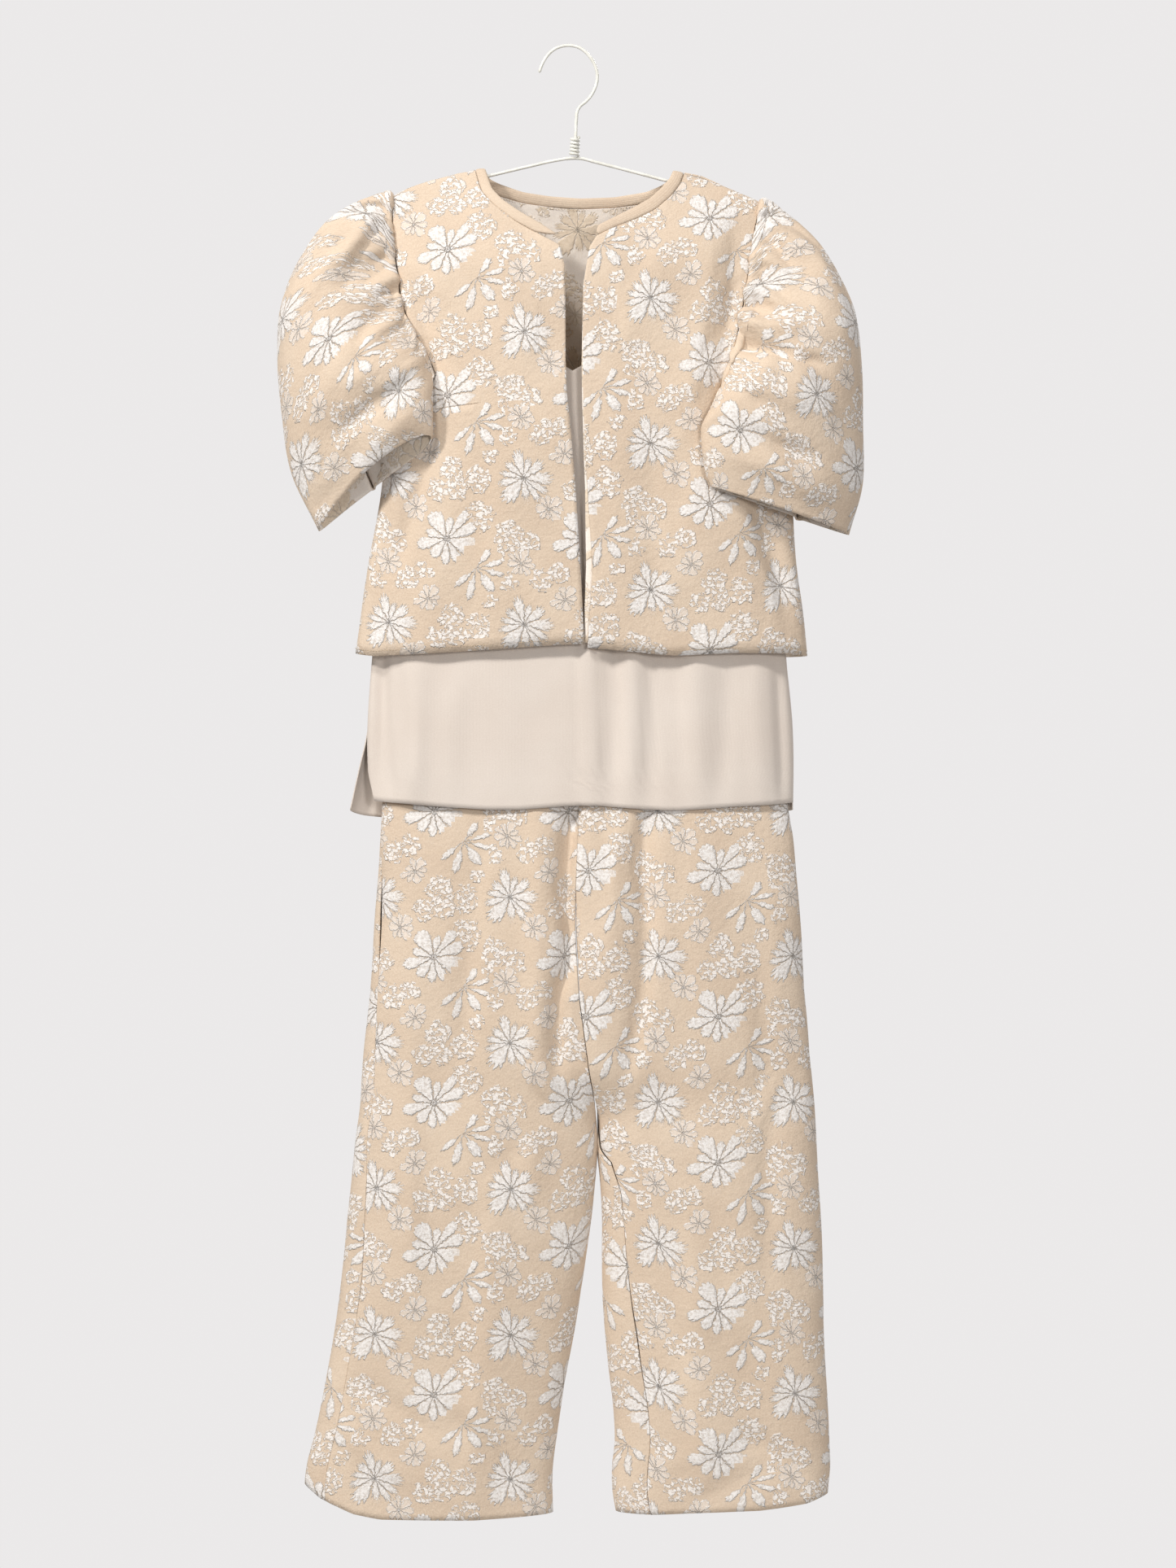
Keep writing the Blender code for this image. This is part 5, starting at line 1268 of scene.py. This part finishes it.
def sweep_piece(name, rings, materials, layers=None, nodes=()):
    """A solid through rings, with fans at its ends, its faces turned outwards."""
    count, sides = rings.shape[:2]
    quads = closed_rings(count, sides)
    quads.append(tuple(range(sides)))
    quads.append(tuple((count - 1) * sides + j for j in range(sides)))
    piece = add_piece(name, rings.reshape(-1, 3), quads, materials, None, layers, nodes)
    face_outwards(piece)
    return piece


def sweep_layers(rings, places, sides):
    """Cloth places per face corner of a sweep, from its length and its way round."""
    corners = []
    for i in range(rings.shape[0] - 1):
        for j in range(sides):
            corners += [places[i, j], places[i, j + 1], places[i + 1, j + 1], places[i + 1, j]]
    return {"cloth": np.concatenate([corners, places[0, :sides], places[-1, :sides]]) * MM}


def binding_piece(grids, cloth):
    """The rolled band round the neck, slightly puckered along its seam."""
    left, right, back = (grids[key][0] for key in ("jacket_front_left", "jacket_front_right", "jacket_back"))
    rows = 7 * FINER_FRONT + 1
    wire_room = np.array([0, 1.6, 0])

    def front_free(curve, all_rows):
        x, z = share_of(curve, finer(all_rows, FINER_FRONT)[:rows] / finer(all_rows, FINER_FRONT)[rows - 1])
        return jacket_point(-1, angle_of(JACKET_SECTIONS, x, z), z) - wire_room * smooth(-z[:, None] / 4 - 31)

    free_left = front_free(BINDING_FREE_EDGE_LEFT, LEFT_ROWS)
    free_right = front_free(BINDING_FREE_EDGE_RIGHT, RIGHT_ROWS)
    columns = finer(corner_shares(BACK_TOP), FINER_BACK)
    x_seam, _ = length_of(BACK_TOP, columns)
    neck = np.nonzero((x_seam > -94.2) & (x_seam < 118.2))[0]
    share = (columns[neck] - columns[neck][0]) / (columns[neck][-1] - columns[neck][0])
    x, z = length_of(BINDING_FREE_EDGE_BACK, share)
    free_back = jacket_point(1, angle_of(JACKET_SECTIONS, x, z), z) + wire_room * smooth(-z[:, None] / 4 - 31)
    seam = np.concatenate([left[0, 1:rows][::-1], back[neck, 0][::-1], right[0, 1:rows]])
    free = np.concatenate([free_left[1:][::-1], free_back[::-1], free_right[1:]])
    reach = lengths_along((seam + free) / 2)
    keep = np.concatenate([[True], np.diff(reach) > 0.4])
    seam, free, reach = seam[keep], free[keep], reach[keep]
    even_reach = np.linspace(0, reach[-1], int(reach[-1] / 2.2))
    seam, free = points_at(seam, reach, even_reach), points_at(free, reach, even_reach)
    for _ in range(2):
        free[1:-1] = (free[:-2] + 2 * free[1:-1] + free[2:]) / 4
    over = free - seam
    heading = unit(np.gradient((seam + free) / 2, axis=0))
    normal = unit(np.cross(heading, over))
    seam = seam + unit(over) * 0.7
    over = free - seam
    turn = np.linspace(0, 2 * np.pi, BINDING_SIDES + 1)
    pucker = 1 + 0.10 * np.sin(even_reach * 0.62) * np.sin(even_reach * 0.19 + 1)
    pucker += 0.05 * np.sin(even_reach * 1.3)
    rings = []
    for a in turn[:-1]:
        share = 0.5 - 0.5 * np.sign(np.cos(a)) * np.abs(np.cos(a)) ** 0.75
        rings.append(seam + over * share + normal * (1.2 * np.sin(a) * pucker)[:, None])
    rings = np.stack(rings)
    near_end = np.minimum(np.arange(len(even_reach)), np.arange(len(even_reach))[::-1]) / 2
    closing = np.sqrt(np.clip(1 - (1 - np.clip(near_end, 0, 1)) ** 2, 0.02, 1))
    centres = rings.mean(axis=0, keepdims=True)
    rings = centres + (rings - centres) * closing[None, :, None]
    around = float(np.median(np.linalg.norm(np.roll(rings, -1, axis=0) - rings, axis=-1).sum(axis=0)))
    across_band = turn[:-1, None] / (2 * np.pi) * around
    places = np.stack(np.broadcast_arrays(across_band, even_reach[None, :]), axis=-1)
    both = cloth, cloth
    add_sheet("neck_binding", rings, grid_normals(rings), BINDING, both, places, turn=around)


def facing_piece(inner):
    z = np.linspace(-212, -606, 110)
    edge = np.interp(-z, -FRONT_LEFT_INNER["z"], FRONT_LEFT_INNER["x"])
    start = edge - np.interp(-z, -FACING["z"], FACING["past_edge"])
    x = start + even(12)[:, None] * (edge + FACING_WIDTH - start)
    z = np.broadcast_to(z, x.shape)
    middle = jacket_point(-1, angle_of(JACKET_SECTIONS, x, z), z, JACKET_FRONT_FOLDS)
    middle[..., 1] += FACING_BEHIND
    normals = np.zeros_like(middle)
    normals[..., 1] = 1
    add_sheet("front_facing_left", middle, normals, JACQUARD * 0.75, (inner, inner), cloth_places(middle))


def under_top_pieces(knit):
    front = patch(
        TOP_SECTIONS, TOP_FRONT_RIGHT_EDGE, TOP_FRONT_LEFT_EDGE, TOP_FRONT_TOP, TOP_FRONT_HEM,
        lambda angle, z: top_point(-1, angle, z),
    )
    back = patch(
        TOP_BACK_SECTIONS, TOP_BACK_RIGHT_EDGE, TOP_BACK_LEFT_EDGE, TOP_BACK_TOP, TOP_BACK_HEM,
        lambda angle, z: top_point(1, angle, z), even_top=True,
    )
    seam = HALF_SEAM
    for name, surface, columns, rows in (
        ("top_front", front, finer(corner_shares(TOP_FRONT_TOP), 12), finer(TOP_FRONT_ROWS, 8)),
        ("top_back", back, even(96), finer(TOP_BACK_ROWS, 9)),
    ):
        middle, normals = cloth_grid(surface, columns, rows, (seam, seam, 0, 0))
        places = cloth_places(middle)
        add_sheet(name, middle, normals, KNIT, (knit, knit), places, slot="knit")
    for k, name in enumerate(("top_strap_right", "top_strap_left")):
        row = {column: values[k] for column, values in STRAPS.items()}
        z_front, z_back = row["z_front"] + 1.5, row["z_back"] + 1.5
        ends = []
        for side, x, z in ((-1, row["x_front"], z_front), (1, row["x_back"], z_back)):
            ends.append(top_point(side, angle_of(TOP_SECTIONS, x, z), z))
        over = over_wire(row["x_wire"], WIRE_RADIUS + 1.3 + KNIT / 2, 17)
        front_run = [ends[0] + (np.array(over[0]) - ends[0]) * f for f in np.linspace(0, 0.95, 12)]
        back_run = [np.array(over[-1]) + (ends[1] - np.array(over[-1])) * f for f in np.linspace(0.05, 1, 16)]
        path = np.array(front_run + [np.array(point) for point in over] + back_run)
        ribbon_piece(name, path, STRAP_WIDTH, KNIT, knit)


def ribbon_piece(name, path, width, thickness, material):
    """A flat ribbon with rounded edges along a path."""
    path = np.array(path, float)
    heading = unit(np.gradient(path, axis=0))
    side = np.array([1.0, 0, 0])
    normal = unit(np.cross(heading, side))
    turn = np.radians(np.arange(RIBBON_SIDES + 1) * 360 / RIBBON_SIDES)
    wide = np.sign(np.cos(turn)) * np.abs(np.cos(turn)) ** 0.35 * width / 2
    deep = np.sign(np.sin(turn)) * np.abs(np.sin(turn)) ** 0.6 * thickness / 2
    rings = np.stack([path + side * wide[k] + normal * deep[k] for k in range(RIBBON_SIDES)], axis=1)
    places = np.stack(np.broadcast_arrays(wide[None, :], lengths_along(path)[:, None]), axis=-1)
    layers = sweep_layers(rings, places, RIBBON_SIDES)
    sweep_piece(name + "_cloth", rings, (material,), layers, (name,))


def trouser_pieces(cloth, inner, tape):
    seam = HALF_SEAM
    for leg, side in ((1, "left"), (-1, "right")):
        for part in ("front", "back"):
            name = f"trouser_{part}_{side}"
            columns, rows = with_edges(even(60)), finer(TROUSER_ROWS, 7)
            grid = cloth_grid(trouser_surface(leg, part), columns, rows, (2 * seam, seam, seam, 0))
            shaped = seam_dip(ripple(*grid, 0.9, 8), grid[1], 0.8, 1.0)
            add_sheet(name, shaped, grid[1], JACQUARD, (cloth, inner), cloth_places(grid[0]))
    turn = np.radians(np.arange(0, 360, 2.5))
    turn, z = np.meshgrid(turn, np.linspace(WAIST_TOP, WAIST_SEAM + seam, 9), indexing="ij")
    band = ring_point(HIP_SECTIONS, turn, z)
    width = float(np.linalg.norm(np.diff(band[:, 0], axis=0, append=band[:1, 0]), axis=-1).sum())
    places = np.stack([turn / (2 * np.pi) * width, z], axis=-1)
    add_sheet("waistband", band, grid_normals(band), WAISTBAND, (cloth, inner), places, turn=width)
    for k, name in enumerate(("tape_right", "tape_left")):
        x_wire, x_waist = TAPES["x_wire"][k], TAPES["x_waist"][k]
        over = over_wire(x_wire, WIRE_RADIUS + 1.05 + 0.5, 17)
        climb = np.linspace(WAIST_TOP + 20, over[0][2] - 12, 40)
        z = np.concatenate([[WAIST_TOP - 5, WAIST_TOP + 10], climb])
        x = np.interp(z, (WAIST_TOP - 5, TAPE_STRAIGHT_TO), (x_waist, x_wire))
        front_run, back_run = ([(a, y, b) for a, b in zip(x, z)] for y in (-3.2, 3.2))
        ribbon_piece(name, front_run + over + back_run[::-1], TAPE_WIDTH, TAPE, tape)


def smooth_path(points, count):
    """Even points on a smooth curve through a path's points."""
    points = np.array(points, float)
    reach = lengths_along(points)
    return curve_through(reach, points, np.linspace(0, reach[-1], count))


def hanger_pieces(material):
    for name, path, count in (("hanger_hook", HOOK_PATH, 200), ("hanger_arms", ARM_PATH, 160)):
        rings = wire_rings(smooth_path(path, count), WIRE_RADIUS, 20)
        centres = rings.mean(axis=1, keepdims=True)
        near_end = np.minimum(np.arange(count), np.arange(count)[::-1]) / 3
        size = np.sqrt(np.clip(1 - (1 - np.clip(near_end, 0, 1)) ** 2, 0.04, 1))
        rings = centres + (rings - centres) * size[:, None, None]
        sweep_piece(name + "_wire", rings, (material,), None, (name,))
    turn = np.linspace(0, TWIST_WRAPS * 2 * np.pi, TWIST_WRAPS * 40)
    height = np.linspace(TWIST_TOP - 1.0, TWIST_END + 0.6, len(turn))
    radius = 3.55 + 0.35 * turn / turn[-1]
    centre = TWIST_CENTRE + 0.05 * (height - TWIST_TOP)
    line = np.stack([centre + radius * np.cos(turn), radius * np.sin(turn), height], axis=-1)
    heading = unit(np.gradient(line, axis=0))
    side = unit(np.cross(heading, (0, 0, 1)))
    up = np.cross(side, heading)
    round_way = np.radians(np.arange(12) * 30)[:, None]
    out = np.cos(round_way) * side[:, None] + np.sin(round_way) * up[:, None]
    rings = line[:, None] + TWIST_WIRE_RADIUS * out
    sweep_piece("hanger_twist_wire", rings, (material,), None, ("hanger_twist",))


def stitch_run(line, normals, spacing=3.0, length=2.1, width=0.5):
    """Points and faces of short raised threads along a line of points."""
    reach = lengths_along(line)
    points, faces = [], []
    for start in np.arange(1.0, reach[-1] - length, spacing):
        first, last = points_at(line, reach, np.array([start, start + length]))
        out = unit(points_at(normals, reach, start))
        side = np.cross(unit(last - first), out) * width / 2
        centre = (first + last) / 2
        middle = centre + out * 0.34
        base = len(points)
        points += [first - side * 0.5, first + side * 0.5, middle + side]
        points += [last + side * 0.5, last - side * 0.5, middle - side, centre - out * 0.3]
        top = [base + k for k in range(6)]
        faces += [tuple(top[k] for k in (0, 1, 2, 5)), tuple(top[k] for k in (5, 2, 3, 4))]
        faces += [(top[k], top[(k + 1) % 6], base + 6) for k in range(6)]
    return points, faces


def stitch_piece(name, runs, material):
    points, faces = [], []
    for line, normals in runs:
        more, quads = stitch_run(line, normals)
        faces += [tuple(corner + len(points) for corner in face) for face in quads]
        points += more
    piece = add_piece(name, np.array(points), faces, (material,))
    face_outwards(piece)


def hem_line(grid, way, up):
    """A line on the cloth's outer face, so far up from its last row."""
    middle, normals = grid
    outward = normals * way
    reach = np.linalg.norm(np.diff(middle[:, ::-1], axis=1), axis=-1).cumsum(axis=1)
    line, out = [], []
    for i, climbed in enumerate(reach):
        k = int(np.searchsorted(climbed, up))
        below = climbed[k - 1] if k else 0
        share = (up - below) / (climbed[k] - below)
        lower, upper = middle[i, -1 - k], middle[i, -2 - k]
        line.append(lower + (upper - lower) * share)
        out.append(outward[i, -1 - k])
    line, out = np.array(line), np.array(out)
    return line + out * (JACQUARD / 2 + STITCH_LIFT), out


def stitch_pieces(grids, material):
    runs = []
    for name, way in (("jacket_front_left", -1), ("jacket_front_right", -1), ("jacket_back", 1)):
        runs.append(hem_line(grids[name], way * np.sign(grids[name][1][5, 8, 1]), HEM_STITCHES_UP))
    stitch_piece("jacket_hem_stitches", runs, material)
    middle, normals = grids["jacket_back"]
    neck = (middle[:, 0, 0] > NECK_STITCHES[0]) & (middle[:, 0, 0] < NECK_STITCHES[1])
    inward = -normals[neck, 3] * np.sign(normals[5, 8, 1])
    line = middle[neck, 3] + inward * (JACQUARD / 2 + STITCH_LIFT)
    stitch_piece("neck_stitches", [(line, inward)], material)


def add_light(name, place, size, power, color):
    data = bpy.data.lights.new(name, "AREA")
    data.shape = "DISK"
    data.size = size
    data.energy = power
    data.color = color
    light = bpy.data.objects.new(name, data)
    light.location = place
    aim = Vector(LIGHT_TARGET) - Vector(place)
    light.rotation_euler = aim.to_track_quat("-Z", "Y").to_euler()
    bpy.context.scene.collection.objects.link(light)


def set_view():
    """The camera straight in front, soft light from above and the side, and a pale floor well below."""
    scene = bpy.context.scene
    data = bpy.data.cameras.new("camera")
    data.sensor_width = 36
    data.lens = 36 * CAMERA_DISTANCE / VIEW_HEIGHT
    data.clip_end = 50
    camera = bpy.data.objects.new("camera", data)
    camera.location = (VIEW_CENTRE[0], CLOTH_PLANE - CAMERA_DISTANCE, VIEW_CENTRE[1])
    camera.rotation_euler = (np.pi / 2, 0, 0)
    scene.collection.objects.link(camera)
    scene.camera = camera
    world = bpy.data.worlds.new("pale")
    world.use_nodes = True
    tree = world.node_tree
    toward = parts_of(field(tree, "ShaderNodeTexCoord", {}, "Generated"))[1]
    background = tree.nodes["Background"]
    background.inputs["Color"].default_value = shade(WALL_TONE)
    put(background.inputs["Strength"], ramp(toward, 0.1, 0.9, ROOM_LIGHT, WALL_LIGHT))
    scene.world = world
    scene.view_settings.view_transform = "Standard"
    for light in LIGHTS:
        add_light(*light)
    turn = np.radians(np.arange(96) * 3.75)
    rim = np.stack([np.cos(turn), np.sin(turn), np.full_like(turn, FLOOR_LEVEL / FLOOR_RADIUS)], axis=-1)
    mesh = bpy.data.meshes.new("floor")
    mesh.from_pydata((rim * FLOOR_RADIUS * MM).tolist(), [], [tuple(range(96))])
    mesh.materials.append(floor_material())
    floor = bpy.data.objects.new("floor", mesh)
    scene.collection.objects.link(floor)


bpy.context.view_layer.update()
jacquard = jacquard_material("floral_jacquard", GROUND, FLOWER, SMALL, 0.0011)
# Material of the cloth's back face, painted lighter to brighten the shaded insides
reverse_painted_lighter = jacquard_material("jacquard_reverse", REVERSE_PAINTED_LIGHTER, REVERSE_FLOWER_PAINTED_LIGHTER, REVERSE_FLOWER_PAINTED_LIGHTER, 0.0005)
knit = plain_cloth("fine_knit", KNIT_TONES, 0.0011, 0.00022, 0.2)
tape = plain_cloth("woven_tape", TAPE_TONES, 0.0007, 0.0002, 0.1)
bound = plain_cloth("binding_cloth", GROUND, 0.0013, 0.0003, 0.1)
thread = plain_cloth("thread", THREAD_TONES, 0.0004, 0.0001, 0.1)
wire = wire_material()
hanger_pieces(wire)
panels = jacket_pieces(jacquard, reverse_painted_lighter)
sleeve_pieces(panels, jacquard, reverse_painted_lighter)
binding_piece(panels, bound)
facing_piece(reverse_painted_lighter)
under_top_pieces(knit)
trouser_pieces(jacquard, reverse_painted_lighter, tape)
stitch_pieces(panels, thread)
set_view()
